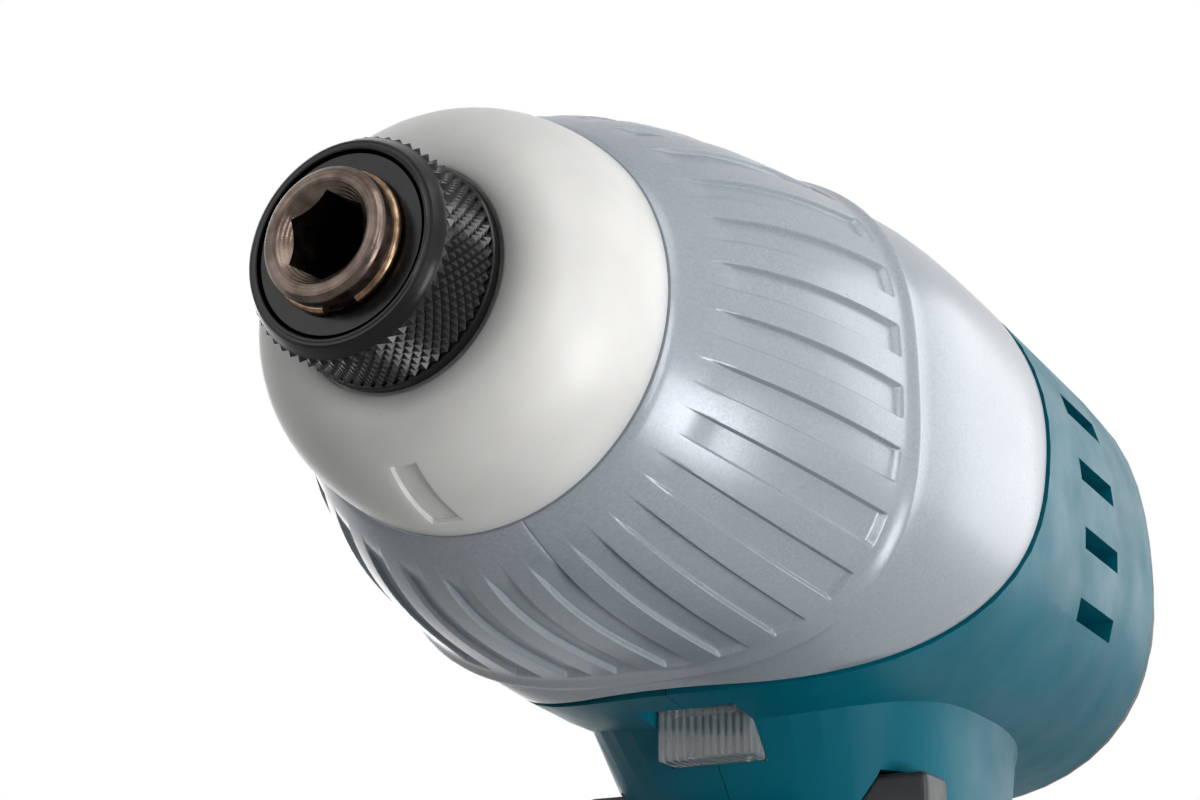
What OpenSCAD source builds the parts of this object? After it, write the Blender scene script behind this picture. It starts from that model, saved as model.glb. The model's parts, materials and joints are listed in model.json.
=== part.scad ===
// Cordless impact driver with a slide-on battery.
// X points out of the nose, Y to the user's left and Z up.
// The origin lies on the base plane, under the grip.
// Stations are distances behind the anvil's tip, along the drive axis.

/* [Layout] */
// Height of the drive axis above the base
axis_h = 196; // [194:0.5:202]
// Distance of the anvil's tip ahead of the grip line
tip_x = 92; // [91:0.5:94]
// Length of the head from the anvil's tip to the rear
head_len = 138; // [137:0.5:142]

/* [Bit holder] */
// Width across the flats of the hex socket
hex_af = 6.4; // [6.35:0.01:6.6]
// Depth of the hex socket
hex_depth = 24; // [20:0.5:25]
// Radius of the anvil's nose
tip_r = 5.5; // [5.4:0.05:5.6]
// Radius of the socket's mouth
mouth_r = 4.28; // [4.1:0.02:4.5]
// Radius of the flat washer
washer_r = 7.35; // [7.2:0.05:7.5]
// Radius of the bit sleeve
sleeve_r = 9.55; // [9.3:0.05:9.7]
// Length of the bit sleeve
sleeve_len = 8.2; // [8:0.1:8.4]
// Forward travel of the bit sleeve
sleeve_travel = 2.4; // [2:0.1:2.6]

/* [Nose] */
// Radius of the bumper at its rear rim
bumper_r = 18; // [17.4:0.1:18.1]
// Length of the bumper's dome
bumper_len = 11.8; // [11.6:0.1:12]
// Station of the nose cover's front rim
cover_s = 22.4; // [22.2:0.1:22.6]
// Radius of the nose cover's front rim
cover_r = 18.3; // [18.1:0.1:18.8]
// Wall of the nose cover
cover_wall = 2.2; // [1.8:0.1:2.3]
// Station of the ridge round the nose cover
ridge_s = 52; // [51:0.5:53]
// Width of the nose cover at the ridge
ridge_w = 55; // [54:0.5:57]
// Height of the ridge above the axis
ridge_top = 23.5; // [23.2:0.1:24.2]
// Depth of the ridge below the axis
ridge_bottom = 24.2; // [23.8:0.1:25]
// Number of flutes round the nose cover
flutes = 30; // [24:2:36]
// Depth of a flute
flute_depth = 0.55; // [0.3:0.05:0.8]

/* [Impact mechanism] */
// Outer radius of the hammer case
case_r = 20.2; // [20:0.1:20.3]
// Radius of the anvil's journal
journal_r = 7; // [6.8:0.1:7.2]
// Length of the hammer
hammer_len = 19; // [18.6:0.1:19.4]
// Rearward travel of the hammer
hammer_travel = 8; // [7.6:0.1:8.2]
// Radius of the spindle
spindle_r = 8; // [7.8:0.1:8.1]
// Wire diameter of the hammer spring
hammer_wire = 1.7; // [1.5:0.1:1.8]

/* [Gears and motor] */
// Gear module
gear_m = 0.75; // [0.74:0.005:0.76]
// Width of the gears
gear_w = 7.5; // [7:0.1:7.8]
// Radius of the rotor
rotor_r = 12.6; // [12:0.1:12.7]
// Outer radius of the stator
stator_r = 23.9; // [23.4:0.1:24.4]
// Length of the stator
stator_len = 22; // [21:0.2:22.4]
// Radius of the fan
fan_r = 20; // [18:0.5:20.5]

/* [Housing] */
// Width of the body at the motor
body_w = 59; // [58.5:0.5:61]
// Height of the body above and below the axis
body_half_h = 27; // [26.8:0.1:28]
// Depth of the grip, front to back
grip_depth = 38; // [37.5:0.5:40]
// Width of the grip
grip_w = 33; // [32.5:0.5:35]
// Wall of the housing
housing_wall = 2.4; // [2.2:0.1:2.5]
// Thickness of the grip rubber
rubber_t = 1.4; // [1:0.1:1.8]

/* [Controls] */
// Height of the trigger
trigger_h = 21; // [19:0.5:21.5]
// Width of the trigger
trigger_w = 14; // [12:0.5:15]
// Travel of the trigger
trigger_travel = 5; // [4:0.2:5.4]
// Length of the direction lever across the grip
lever_len = 37; // [35:0.5:40]
// Travel of the direction lever to each side
lever_travel = 3; // [2:0.2:3.2]
// Radius of a panel button
button_r = 2.6; // [2.2:0.1:3]

/* [Battery] */
// Length of the battery
battery_len = 113; // [112.5:0.5:116]
// Width of the battery
battery_w = 75; // [74.5:0.5:78]
// Height of the battery's body
battery_h = 44.4; // [44.2:0.1:45.4]
// Travel of the release latch
latch_travel = 4; // [3:0.2:4.2]

/* [Hidden] */
$fn = 64;

// Clearances
fit = 0.05;
snug = 0.1;
seat = 0.3;
over = 1;
seam_gap = 0.35;
parting = 0.1;

// Bit holder
tip_chamfer = 0.45;
mouth_depth = 1.1;
snap_s = 2.1;
snap_wire_r = 0.45;
snap_bite = 0.1;
snap_r = tip_r - snap_bite;
snap_gap_angle = 30;
snap_gap_turn = 172;
hex_r = hex_af / 2 / cos(30);
washer_t = 0.9;
washer_s = snap_s + snap_wire_r + fit;
washer_end = washer_s + washer_t;
sleeve_lead = 0.2;
sleeve_s = washer_s - sleeve_lead;
sleeve_end = sleeve_s + sleeve_len;
sleeve_wire = 0.7;
sleeve_turns = 2.5;
sleeve_collar_s = washer_end + sleeve_travel + sleeve_wire * sleeve_turns;
sleeve_bore_r = tip_r + snug;
sleeve_wash_gap = 0.3;
sleeve_counter_r = washer_r + sleeve_wash_gap;
sleeve_rim = 0.3;
sleeve_spring_r = (sleeve_bore_r + sleeve_counter_r) / 2;
sleeve_bevel = 0.45;
sleeve_bevel_len = 0.7;
sleeve_band_len = 0.9;
sleeve_relief = 0.5;
ball_r = 1.5;
ball_s = (sleeve_collar_s + sleeve_end) / 2;
ball_reach = tip_r - ball_r;

// Bumper
bumper_end = cover_s - snug;
bumper_s = bumper_end - bumper_len;
bumper_face_r = 11;
bumper_steps = 10;
bumper_rim_gap = 0.1;
bumper_recess_r = sleeve_r + bumper_rim_gap;
bumper_recess_gap = 0.6;
bumper_recess_s = sleeve_end + bumper_recess_gap;
bumper_hole_r = 8.4;
bumper_lip = 1.1;

// Hammer case and anvil
case_s = bumper_recess_s + bumper_lip + snug;
case_tube_r = 10.6;
case_lip = 1;
case_lip_gap = 0.6;
case_bore_r = 8.6;
bush_s = case_s + case_lip + snug;
bush_len = 15;
case_wall_s = bush_s + bush_len + seat;
case_wall = 1.8;
case_shoulder_r = 15.4;
case_shoulder_s = cover_s;
case_flare_r = 18.6;
case_flare_s = case_wall_s;
case_full_s = 34;
case_front_r = case_flare_r - case_wall - seat;
thrust_t = 0.8;
thrust_r = 12;
flange_s = case_wall_s + thrust_t + snug;
anvil_core_r = 9;
lug_r = 15.5;
lug_w = 9;
lug_len = 7;
anvil_end = flange_s + lug_len;
pilot_r = 4;
pilot_len = 7;

// Spindle and hammer
spindle_gap = 0.7;
spindle_s = anvil_end + spindle_gap;
hammer_lead = 0.8;
hammer_s = spindle_s + hammer_lead;
hammer_end = hammer_s + hammer_len;
hammer_gap = 0.6;
hammer_r = case_r - case_wall - hammer_gap;
jaw_len = 6.6;
jaw_in_r = anvil_core_r + hammer_gap;
jaw_out_r = 16.2;
jaw_angle = 50;
cam_ball_r = 2.4;
cam_back = 6.8;
cam_s = hammer_s + cam_back;
pocket_back = 10.3;
pocket_s = hammer_s + pocket_back;
hammer_skin = 2.4;
pocket_out_r = hammer_r - hammer_skin;
hammer_tube = 2.15;
pocket_in_r = spindle_r + fit + hammer_tube;
carrier_s = hammer_end + hammer_travel + hammer_gap;
spring_washer_t = 0.8;
spring_washer_s = carrier_s - spring_washer_t - fit;
hammer_turns = 3.5;
hammer_spring_r = (pocket_in_r + pocket_out_r) / 2;

// Gear stage
sun_teeth = 12;
planet_teeth = 15;
ring_teeth = sun_teeth + 2 * planet_teeth;
planets = 3;
pressure_angle = 20;
root_share = 1.25;
backlash = 0.09;
orbit_r = gear_m * (sun_teeth + planet_teeth) / 2;
carrier_t = 3;
carrier_r = 14.4;
carrier_post_r = 2.6;
gear_s = carrier_s + carrier_t + seat;
carrier_rear_s = gear_s + gear_w + seat;
boss_s = carrier_rear_s + carrier_t;
boss_r = 9;
planet_pin_r = 1.75;
sun_room = 0.5;
sun_bore_r = gear_m * (sun_teeth / 2 + 1) + sun_room;
ring_r = case_r - case_wall - snug;
bearing_w = 5;
bearing_r = 13;
bearing_s = boss_s + seat;
boss_end = bearing_s + bearing_w;
case_end = boss_s + snug;
box_spigot_s = gear_s + gear_w + seat + snug;
box_s = case_end + snug;
box_flange_r = 22;
box_flange_t = 2.8;
box_boss_r = 16.5;
box_wall = 1.4;
box_hole_r = 6.2;

// Motor
shaft_r = 2.5;
motor_bearing_r = 8;
motor_bearing_w = 4;
front_bearing_s = boss_end + snug + box_wall;
box_end = front_bearing_s + motor_bearing_w + snug;
stator_gap = 3;
stator_s = box_end + stator_gap;
stator_end = stator_s + stator_len;
air_gap = 0.4;
teeth = 6;
tooth_w = 5;
yoke = 4.4;
coil_wall = 2;
coil_in_gap = 1.2;
coil_out_gap = 0.9;
coil_over = 1.6;
magnet_w = 10.4;
magnet_t = 2.4;
magnet_back = 3.2;
board_t = 1.4;
sensor_s = stator_end + coil_over + seat;
sensor_in_r = 14;
sensor_out_r = 22;
fan_s = sensor_s + board_t + over;
fan_w = 5.8;
fan_hub_r = 5;
fan_disc = 1.2;
fan_blades = 11;
fan_blade_t = 1;
rear_bearing_gap = 2;
rear_bearing_s = fan_s + fan_w + rear_bearing_gap;
shaft_end = rear_bearing_s + motor_bearing_w + snug;

// Form of the head
side_linear_share = 0.35;
side_power = 2.8;
top_power = 4.1;
bottom_linear_share = 0.15;
bottom_power = 4.2;
corner_gain = 0.8;
corner_ease = 1.6;
collar_back = 1;
collar_step = 0.4;
collar_s = ridge_s + collar_back;
body_run = 47;
body_full_s = collar_s + body_run;
flare_power = 5;
rear_round = 18;
rear_round_s = head_len - rear_round;
rear_drop_share = 0.3;
rear_power = 2.5;
rear_len = 14;
rear_s = head_len - rear_len;
seam_top_s = 88;
seam_bottom_s = 56.5;
seam_power = 3.3;
front_cavity_r = 22.5;
motor_cavity_r = stator_r + seat + snug;
front_cavity_s = 60;
full_cavity_s = 70;
flute_edge_shares = [-0.217, 0.217, 0.283, 0.717];
flute_ring_shares = [0, 0.06, 0.14, 0.17, 0.32, 0.5, 0.7, 0.9, 0.925, 0.965, 1];
flute_from_share = 0.16;
flute_to_share = 0.91;
collar_ring_shares = [0, 0.4, 1];
lining_ring_shares = [1, 0.6, 0.3, 0.14, 0];
head_ring_shares = [0, 0.12, 0.25, 0.4, 0.6, 0.8, 1];
rear_ring_shares = [0, 0.2, 0.4, 0.6, 0.75, 0.88, 0.96, 1];
head_step = 6;
vent_shares = [-0.42, -0.14, 0.14, 0.42];
vent_h = 2.4;
vent_l = 12;
vent_back = 3;
rear_vent_l = 5;
rear_vent_in = 9.5;
rear_vent_s = rear_s + vent_h;
rib_w = 2.4;
rib_gap = 0.4;
rib_s = box_end - rib_w - rib_gap;
rib_sink = 0.4;

// Form of the grip and foot: height, front and rear, half width, and corner power.
// The foot's rows take their height from its own rise, and the others from the rest of the grip.
foot_gap = 0.6;
foot_z = battery_h + foot_gap;
grip_top_drop = 20;
grip_h = axis_h - grip_top_drop - foot_z;
foot_rise = 35;
foot_rows = 5;
grip_rows_shares = [
    [0.0000, 1.37, -1.32, 2.06, 5.0],
    [0.3443, 1.37, -1.32, 2.06, 5.0],
    [0.4866, 1.26, -1.24, 1.88, 4.2],
    [0.5989, 0.90, -1.11, 1.58, 3.4],
    [0.7411, 0.53, -0.97, 1.27, 2.8],
    [1.0000, 0.29, -0.86, 1.06, 2.5],
    [0.1540, 0.21, -0.80, 0.97, 2.4],
    [0.3327, 0.21, -0.78, 0.97, 2.4],
    [0.5210, 0.25, -0.75, 1.02, 2.4],
    [0.6875, 0.32, -0.72, 1.03, 2.4],
    [0.7912, 0.40, -0.70, 1.03, 2.5],
    [0.8745, 0.58, -0.68, 1.06, 2.6],
    [0.9481, 0.74, -0.71, 1.13, 2.7],
    [1.0000, 0.82, -0.76, 1.21, 2.8]];
grip_step = 6;
grip_rows = [for (i = [0 : len(grip_rows_shares) - 1]) i];
rubber_rows = [5, 6, 7, 8, 9, 10];
rubber_first = 8;
rubber_gap = 0.2;
foot_half_w = row_w(0);

// Housing screws: places as shares of the grip's depth, the foot's rise and the rest of the height
screw_spot_shares = [[-0.4, 1, 0.891], [-0.26, 1, 0.438], [-0.24, 1, 0.045], [-0.92, 0.505, 0]];
screw_r = 1.5;
screw_head_r = 2.9;
screw_head_t = 2.3;
screw_seat_y = 11;
screw_tip_y = 9;
screw_boss_r = 4;
screw_boss_y = 14;
rear_screw_r = 1.2;
rear_screw_head_r = 2.2;
rear_screw_place_r = 26.3;
rear_screw_grip = 10;
rear_screw_web = 3;

// Trigger, switch and lever
front_table = [for (i = grip_rows) [row_z(i), row_front(i)]];
trigger_drop = 48;
trigger_z = axis_h - trigger_drop;
trigger_out = 8.5;
trigger_face_x = lookup(trigger_z, front_table) + trigger_out;
trigger_dish_r = 20;
trigger_horn = 3;
trigger_wire = 0.7;
trigger_turns = 2.5;
switch_x = -3;
switch_l = 15;
switch_w = 23.6;
switch_h = 22;
switch_rib_l = 8;
switch_rib_h = 14;
switch_rib_end = 15;
trigger_room = 2.6;
trigger_back_x = switch_x + trigger_travel + trigger_room;
stem_r = 3;
stem_in = 3;
lever_drop = 33;
lever_z = axis_h - lever_drop;
lever_x = 14;
lever_t = 6;
lever_h = 5;

// Lamp and panel
lamp_drop = 27;
lamp_z = axis_h - lamp_drop;
lamp_x = lookup(lamp_z, front_table);
lamp_w = 10;
lamp_h = 5;
lamp_in = 5;
lamp_out = 0.8;
panel_x = grip_depth;
panel_share = (row_front(2) - panel_x) / (row_front(2) - row_front(3));
panel_z = row_z(2) + (row_z(3) - row_z(2)) * panel_share;
panel_tilt = atan((row_z(3) - row_z(2)) / (row_front(2) - row_front(3)));
panel_l = 11;
panel_w = 20;
panel_in = 1.6;
panel_out = 0.5;
button_spread = 5;
button_in = 0.8;
button_out = 1.4;

// Foot
neck_w = 44;
neck_flange_w = 53;
neck_short = 37;
neck_l = battery_len - neck_short;
neck_h = 7;
neck_flange_h = 5;
neck_z = battery_h + neck_h;
neck_top = neck_z + neck_flange_h;
neck_side = 0.5;
lip_w = 9.5;
lip_drop = 0.4;
lip_short = 4;
lip_l = neck_l - lip_short;
slot_room = 0.8;
slot_x = neck_l / 2;
channel_w = 22;
channel_front = 2;
channel_floor = 2;
shelf_x = -20;
shelf_l = 30;
shelf_lap = 2;
shelf_t = 1.1;
shelf_end = 31;
block_w = 20;
block_l = 34;
block_x = -38;
block_rise = 2.6;
board_gap = 1.6;
board_z = neck_top + board_gap;
control_l = 52;
control_w = 49;
control_x = -28;
control_t = 1.6;
contact_y = 5;
contact_t = 0.8;
contact_drop = 2;
contact_end = 2;
hook_bore_r = 2.1;
hook_boss_l = 11;
hook_boss_w = 4.8;
hook_rise = 6.5;
hook_wall_sink = 1;
hook_h = 10;
hook_t = 1.8;
hook_gap = 9;
hook_front = 9;
hook_rear = -26;
hook_tip = 30;
hook_screw_r = 2;
hook_screw_head_r = 4;
hook_screw_head_t = 2.4;
lead_r = 1.3;
lead_x = -17;
lead_y = 4;
motor_lead_r = 1;
motor_leads_x = -5;
motor_lead_pitch = 3;
lead_port_l = 12;
lead_port_w = 6;

// Battery
battery_x = -1.5;
battery_corner = 12;
battery_wall = 2.4;
battery_floor = 2;
battery_roof = 2.2;
battery_split_share = 0.563;
battery_split = battery_h * battery_split_share;
cells_long = 5;
cells_high = 2;
cells_inset = 9;
cell_gap = 0.8;
cell_pitch = (battery_len - 2 * cells_inset) / cells_long;
cell_rise_gap = 0.6;
cell_headroom = 3.2;
cell_stack = battery_h - battery_floor - battery_roof - cell_headroom - cell_rise_gap;
cell_r = min((cell_pitch - cell_gap) / 2, cell_stack / (2 * cells_high));
cell_rise = 2 * cell_r + cell_rise_gap;
cell_z = battery_floor + seat + cell_r;
cell_end_room = 2.6;
cell_len = battery_w - 2 * (battery_wall + cell_end_room);
holder_back = 10.5;
holder_in = cell_len / 2 - holder_back;
holder_t = 7;
holder_margin = 0.3;
holder_l = (cells_long - 1) * cell_pitch + 2 * (cell_r + holder_margin);
holder_h = cell_rise + 2 * cell_r + seat;
latch_w = 23;
latch_hook_w = 16;
latch_hook_t = 3.6;
latch_front = battery_x + battery_len / 2;
latch_out = 1.2;
latch_back = 5.2;
latch_drop = 10;
latch_z = battery_h - latch_drop;
latch_h = 6.5;
latch_hook_rise = 5;
latch_wire = 0.8;
latch_turns = 2.5;
latch_spring_r = 2.2;
latch_room = 2.6;
ledge_z = latch_z - latch_travel - latch_room;
ledge_t = 1.5;
ledge_w = 12;
groove_count = 4;
groove_pitch = 3.8;
groove_h = 1.7;
groove_l = 50;
groove_deep = 0.7;
groove_z = 6.4;
case_screw_r = 1.2;
case_screw_head_r = 2.3;
case_screw_head_t = 2.2;
case_screw_inset_x = 6;
case_screw_inset_y = 6.4;
case_screw_boss_r = 2.9;
case_screw_sink = 3;
case_screw_reach = 10;
gauge_r = 2.4;
gauge_y = -9;
gauge_drop = 10;
gauge_z = battery_h - gauge_drop;
gauge_out = 0.8;

// Coils have eight rings a turn and six sides
coil_rings = 8;
coil_sides = 6;

function mix(a, b, t) = a + (b - a) * t;
function unit(t) = max(0, min(1, t));
function grow(t, linear_share, power) = linear_share * t + (1 - linear_share) * (1 - pow(1 - t, power));

// Sections of the head at a station
function cover_t(s) = unit((s - cover_s) / (ridge_s - cover_s));
function body_t(s) = grow(unit((s - collar_s) / body_run), 0, flare_power);
function rear_scale(s) = 1 - rear_drop_share * pow(unit((s - rear_round_s) / rear_round), rear_power);
function half_w(s) = s <= ridge_s
    ? mix(cover_r, ridge_w / 2, grow(cover_t(s), side_linear_share, side_power))
    : mix(ridge_w / 2 - collar_step, body_w / 2, body_t(s)) * rear_scale(s);
function top_h(s) = s <= ridge_s
    ? mix(cover_r, ridge_top, grow(cover_t(s), 0, top_power))
    : mix(ridge_top - collar_step, body_half_h, body_t(s)) * rear_scale(s);
function bottom_h(s) = s <= ridge_s
    ? mix(cover_r, ridge_bottom, grow(cover_t(s), bottom_linear_share, bottom_power))
    : mix(ridge_bottom - collar_step, body_half_h, body_t(s)) * rear_scale(s);
function corner_power(s) = 2 + corner_gain * pow(cover_t(s), corner_ease) * (1 - body_t(s) / 3);
function loop_r(a, w, h, n) = pow(pow(abs(cos(a)) / w, n) + pow(abs(sin(a)) / h, n), -1 / n);
function head_r(a, s, inset = 0) =
    loop_r(a, half_w(s) - inset, (sin(a) > 0 ? top_h(s) : bottom_h(s)) - inset, corner_power(s));
function head_point(a, s, r) = [tip_x - s, r * cos(a), axis_h + r * sin(a)];

// The seam between the nose cover and the housing runs down and forward
function seam_s(a) = let (z = head_r(a, body_full_s) * sin(a), drop = (body_half_h - z) / (2 * body_half_h))
    mix(seam_top_s, seam_bottom_s, pow(drop, seam_power));
function cavity_r(s) =
    mix(front_cavity_r, motor_cavity_r, unit((s - front_cavity_s) / (full_cavity_s - front_cavity_s)));

// Sections of the grip by row
function row_z(i) = foot_z + (i <= foot_rows
    ? grip_rows_shares[i][0] * foot_rise
    : foot_rise + grip_rows_shares[i][0] * (grip_h - foot_rise));
function row_front(i) = grip_rows_shares[i][1] * grip_depth;
function row_rear(i) = grip_rows_shares[i][2] * grip_depth;
function row_w(i) = grip_rows_shares[i][3] * grip_w / 2;
function grip_point(i, a, inset, drop) =
    let (front = row_front(i) - inset, rear = row_rear(i) + inset)
    let (r = loop_r(a, (front - rear) / 2, row_w(i) - inset, grip_rows_shares[i][4]))
    [(front + rear) / 2 + r * cos(a), max(r * sin(a), parting / 2), max(foot_z, row_z(i) - drop)];

// Triangles of a grid of rings, of the ends of a walled strip, and of a plain end
function grid_faces(rings, n, wrap) =
    [for (i = [0 : rings - (wrap ? 1 : 2)], j = [0 : n - 1])
        let (a = i * n + j, b = i * n + (j + 1) % n)
        let (c = ((i + 1) % rings) * n + (j + 1) % n, d = ((i + 1) % rings) * n + j)
        each [[a, c, b], [a, d, c]]];
function strip_end(base, n, flip) =
    [for (j = [0 : n - 2])
        let (a = base + j, b = base + j + 1, c = base + 2 * n - 2 - j, d = base + 2 * n - 1 - j)
        each flip ? [[a, c, b], [a, d, c]] : [[a, b, c], [a, c, d]]];
function fan_end(base, n, flip) =
    [for (j = [1 : n - 2]) flip ? [base, base + j + 1, base + j] : [base, base + j, base + j + 1]];

// Points of a coil spring along Z
function coil_points(r, wire, turns, length) =
    [for (i = [0 : turns * coil_rings], k = [0 : coil_sides - 1])
        let (a = 360 * i / coil_rings, b = -360 * k / coil_sides, reach = r + wire / 2 * cos(b))
        [reach * cos(a), reach * sin(a),
            wire / 2 + (length - wire) * i / (turns * coil_rings) + wire / 2 * sin(b)]];
function coil_gap(p) =
    min([for (k = [0 : coil_sides - 1], m = [0 : coil_sides - 1])
        norm(p[k] - p[coil_rings * coil_sides + m])]);

module coil(r, wire, turns, length) {
    points = coil_points(r, wire, turns, length);
    rings = turns * coil_rings + 1;
    echo(least_gap = coil_gap(points));
    polyhedron(points, concat(grid_faces(rings, coil_sides, false), fan_end(0, coil_sides, false),
        fan_end((rings - 1) * coil_sides, coil_sides, true)));
}

// Gear outlines with involute flanks drawn as straight lines
function involute(cosine) = let (a = acos(min(1, cosine))) tan(a) * 180 / PI - a;
function tooth_half(r, z) =
    90 / z + involute(cos(pressure_angle)) - involute(gear_m * z / 2 * cos(pressure_angle) / r);
function on_circle(r, a) = [r * cos(a), r * sin(a)];
function gear_outline(z, root, tip, slack) =
    let (ease = slack / (gear_m * z / 2) * 180 / PI, low = tooth_half(root, z) + ease)
    let (high = tooth_half(tip, z) + ease)
    [for (k = [0 : z - 1]) let (c = 360 * k / z)
        each [on_circle(root, c - low), on_circle(tip, c - high), on_circle(tip, c + high),
            on_circle(root, c + low)]];
module outer_gear(z) {
    polygon(gear_outline(z, gear_m * (z / 2 - root_share), gear_m * (z / 2 + 1), -backlash));
}
module inner_gear(z) {
    polygon(gear_outline(z, gear_m * (z / 2 - 1), gear_m * (z / 2 + root_share), backlash));
}

// Places
module on_axis(s) { translate([tip_x - s, 0, axis_h]) rotate([0, -90, 0]) children(); }
module along_y(x, y, z) { translate([x, y, z]) rotate([-90, 0, 0]) children(); }
module turned(points) { on_axis(0) rotate_extrude() polygon(points); }
module band(outer, inner, s, length) {
    turned([[inner, s], [outer, s], [outer, s + length], [inner, s + length]]);
}
module box_from(low, high) { translate(low) cube(high - low); }
module rounded(l, w, r) {
    square([l - 2 * r, w], center = true);
    square([l, w - 2 * r], center = true);
    for (x = [-1, 1], y = [-1, 1]) translate([x * (l / 2 - r), y * (w / 2 - r)]) circle(r);
}

// Bit holder
module anvil() {
    color("#8a8178") difference() {
        union() {
            turned([[0, 0], [tip_r - tip_chamfer, 0], [tip_r, tip_chamfer],
                [tip_r, snap_s - snap_wire_r - fit],
                [snap_r - snap_wire_r - fit, snap_s - snap_wire_r - fit],
                [snap_r - snap_wire_r - fit, washer_s], [tip_r, washer_s], [tip_r, case_s],
                [journal_r, case_s], [journal_r, flange_s], [anvil_core_r, flange_s],
                [anvil_core_r, anvil_end], [0, anvil_end]]);
            for (a = [0, 180])
                on_axis(flange_s) rotate(a) intersection() {
                    translate([0, -lug_w / 2, 0]) cube([lug_r, lug_w, lug_len]);
                    cylinder(r = lug_r, h = lug_len);
                }
        }
        on_axis(-over) cylinder(r = hex_r, h = hex_depth + over, $fn = 6);
        turned([[0, -over], [mouth_r, -over], [mouth_r, 0], [mouth_r - mouth_depth, mouth_depth],
            [0, mouth_depth]]);
        on_axis(ball_s) rotate([90, 0, 0]) cylinder(r = ball_r + snug, h = 2 * tip_r + over, center = true);
        on_axis(anvil_end - pilot_len) cylinder(r = pilot_r + fit, h = pilot_len + over);
    }
}
module snap_ring() {
    color("#9a7a45") on_axis(snap_s) rotate(snap_gap_turn + snap_gap_angle / 2)
        rotate_extrude(angle = 360 - snap_gap_angle) translate([snap_r, 0]) circle(snap_wire_r);
}
module sleeve_washer() {
    color("#1c1c1e") band(washer_r, tip_r + fit, washer_s, washer_t);
}
module sleeve_spring() {
    color("silver") on_axis(washer_end + fit)
        coil(sleeve_spring_r, sleeve_wire, sleeve_turns, sleeve_collar_s - washer_end - 2 * fit);
}
module bit_sleeve() {
    front_r = sleeve_counter_r + sleeve_rim;
    band_s = sleeve_s + sleeve_bevel_len + sleeve_band_len;
    color("#1f1f22") turned([[sleeve_counter_r, sleeve_s], [front_r, sleeve_s],
        [sleeve_r - 2 * sleeve_bevel, sleeve_s + sleeve_bevel_len], [sleeve_r - sleeve_bevel, band_s],
        [sleeve_r, band_s], [sleeve_r, sleeve_end], [sleeve_bore_r + sleeve_relief, sleeve_end],
        [sleeve_bore_r, sleeve_end - sleeve_relief], [sleeve_bore_r, sleeve_collar_s],
        [sleeve_counter_r, sleeve_collar_s]]);
}
module detent_balls() {
    color("silver") for (side = [-1, 1])
        on_axis(ball_s) translate([0, side * ball_reach, 0]) sphere(ball_r);
}

// Nose
module nose_bumper() {
    dome = [for (i = [0 : bumper_steps]) let (a = 90 * i / bumper_steps)
        [bumper_face_r + (bumper_r - bumper_face_r) * sin(a), bumper_end - bumper_len * cos(a)]];
    color("#e9e7e0") turned(concat([[bumper_hole_r, bumper_recess_s], [bumper_recess_r, bumper_recess_s],
        [bumper_recess_r, bumper_s]], dome, [[case_tube_r + snug, bumper_end],
        [case_tube_r + snug, case_s - snug], [bumper_hole_r, case_s - snug]]));
}
module nose_cover() {
    pitch = 360 / flutes;
    angles = [for (k = [0 : flutes - 1], e = [0 : 3]) -pitch * (k + flute_edge_shares[e])];
    n = len(angles);
    front = [for (f = flute_ring_shares, j = [0 : n - 1])
        let (s = mix(cover_s, ridge_s, f))
        let (in_flute = j % 4 > 1 && f > flute_from_share && f < flute_to_share)
        head_point(angles[j], s, head_r(angles[j], s) - (in_flute ? flute_depth : 0))];
    collar = [for (f = collar_ring_shares, a = angles)
        let (s = mix(collar_s, seam_s(a), f)) head_point(a, s, head_r(a, s))];
    lining_rear = [for (f = [1, 0], a = angles)
        let (s = mix(collar_s, seam_s(a), f)) head_point(a, s, head_r(a, s, cover_wall))];
    lining = [for (f = lining_ring_shares, a = angles)
        let (s = mix(cover_s, ridge_s, f)) head_point(a, s, head_r(a, s, cover_wall))];
    points = concat(front, collar, lining_rear, lining);
    color("#8f979f") polyhedron(points, grid_faces(len(points) / n, n, true));
}

// Impact mechanism
module hammer_case() {
    inner_r = case_r - case_wall;
    color("#b8babd") turned([[journal_r + case_lip_gap, case_s], [case_tube_r, case_s],
        [case_tube_r, case_shoulder_s], [case_shoulder_r, case_shoulder_s], [case_flare_r, case_flare_s],
        [case_r, case_full_s], [case_r, case_end], [inner_r, case_end], [inner_r, case_full_s],
        [case_front_r, case_wall_s], [case_bore_r, case_wall_s], [case_bore_r, case_s + case_lip],
        [journal_r + case_lip_gap, case_s + case_lip]]);
}
module anvil_bush() {
    color("#b08d57") band(case_bore_r - fit, journal_r + fit, bush_s, bush_len);
}
module thrust_washer() {
    color("#d8d2c0") band(thrust_r, journal_r + snug, case_wall_s + fit, thrust_t);
}
module hammer() {
    color("#6f6a64") difference() {
        union() {
            turned([[spindle_r + fit, hammer_s], [hammer_r, hammer_s], [hammer_r, hammer_end],
                [pocket_out_r, hammer_end], [pocket_out_r, pocket_s], [pocket_in_r, pocket_s],
                [pocket_in_r, hammer_end], [spindle_r + fit, hammer_end]]);
            for (a = [90, 270])
                on_axis(0) rotate(a - jaw_angle / 2) rotate_extrude(angle = jaw_angle)
                    polygon([[jaw_in_r, hammer_s - jaw_len], [jaw_out_r, hammer_s - jaw_len],
                        [jaw_out_r, hammer_s + over], [jaw_in_r, hammer_s + over]]);
        }
        for (a = [0, 180])
            on_axis(cam_s) rotate(a) translate([spindle_r, 0, 0]) {
                sphere(cam_ball_r + snug);
                translate([0, 0, -hammer_travel - cam_ball_r])
                    cylinder(r = cam_ball_r + snug, h = hammer_travel + cam_ball_r);
            }
    }
}
module hammer_spring() {
    color("silver") on_axis(pocket_s + fit)
        coil(hammer_spring_r, hammer_wire, hammer_turns, spring_washer_s - pocket_s - 2 * fit);
}
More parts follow.
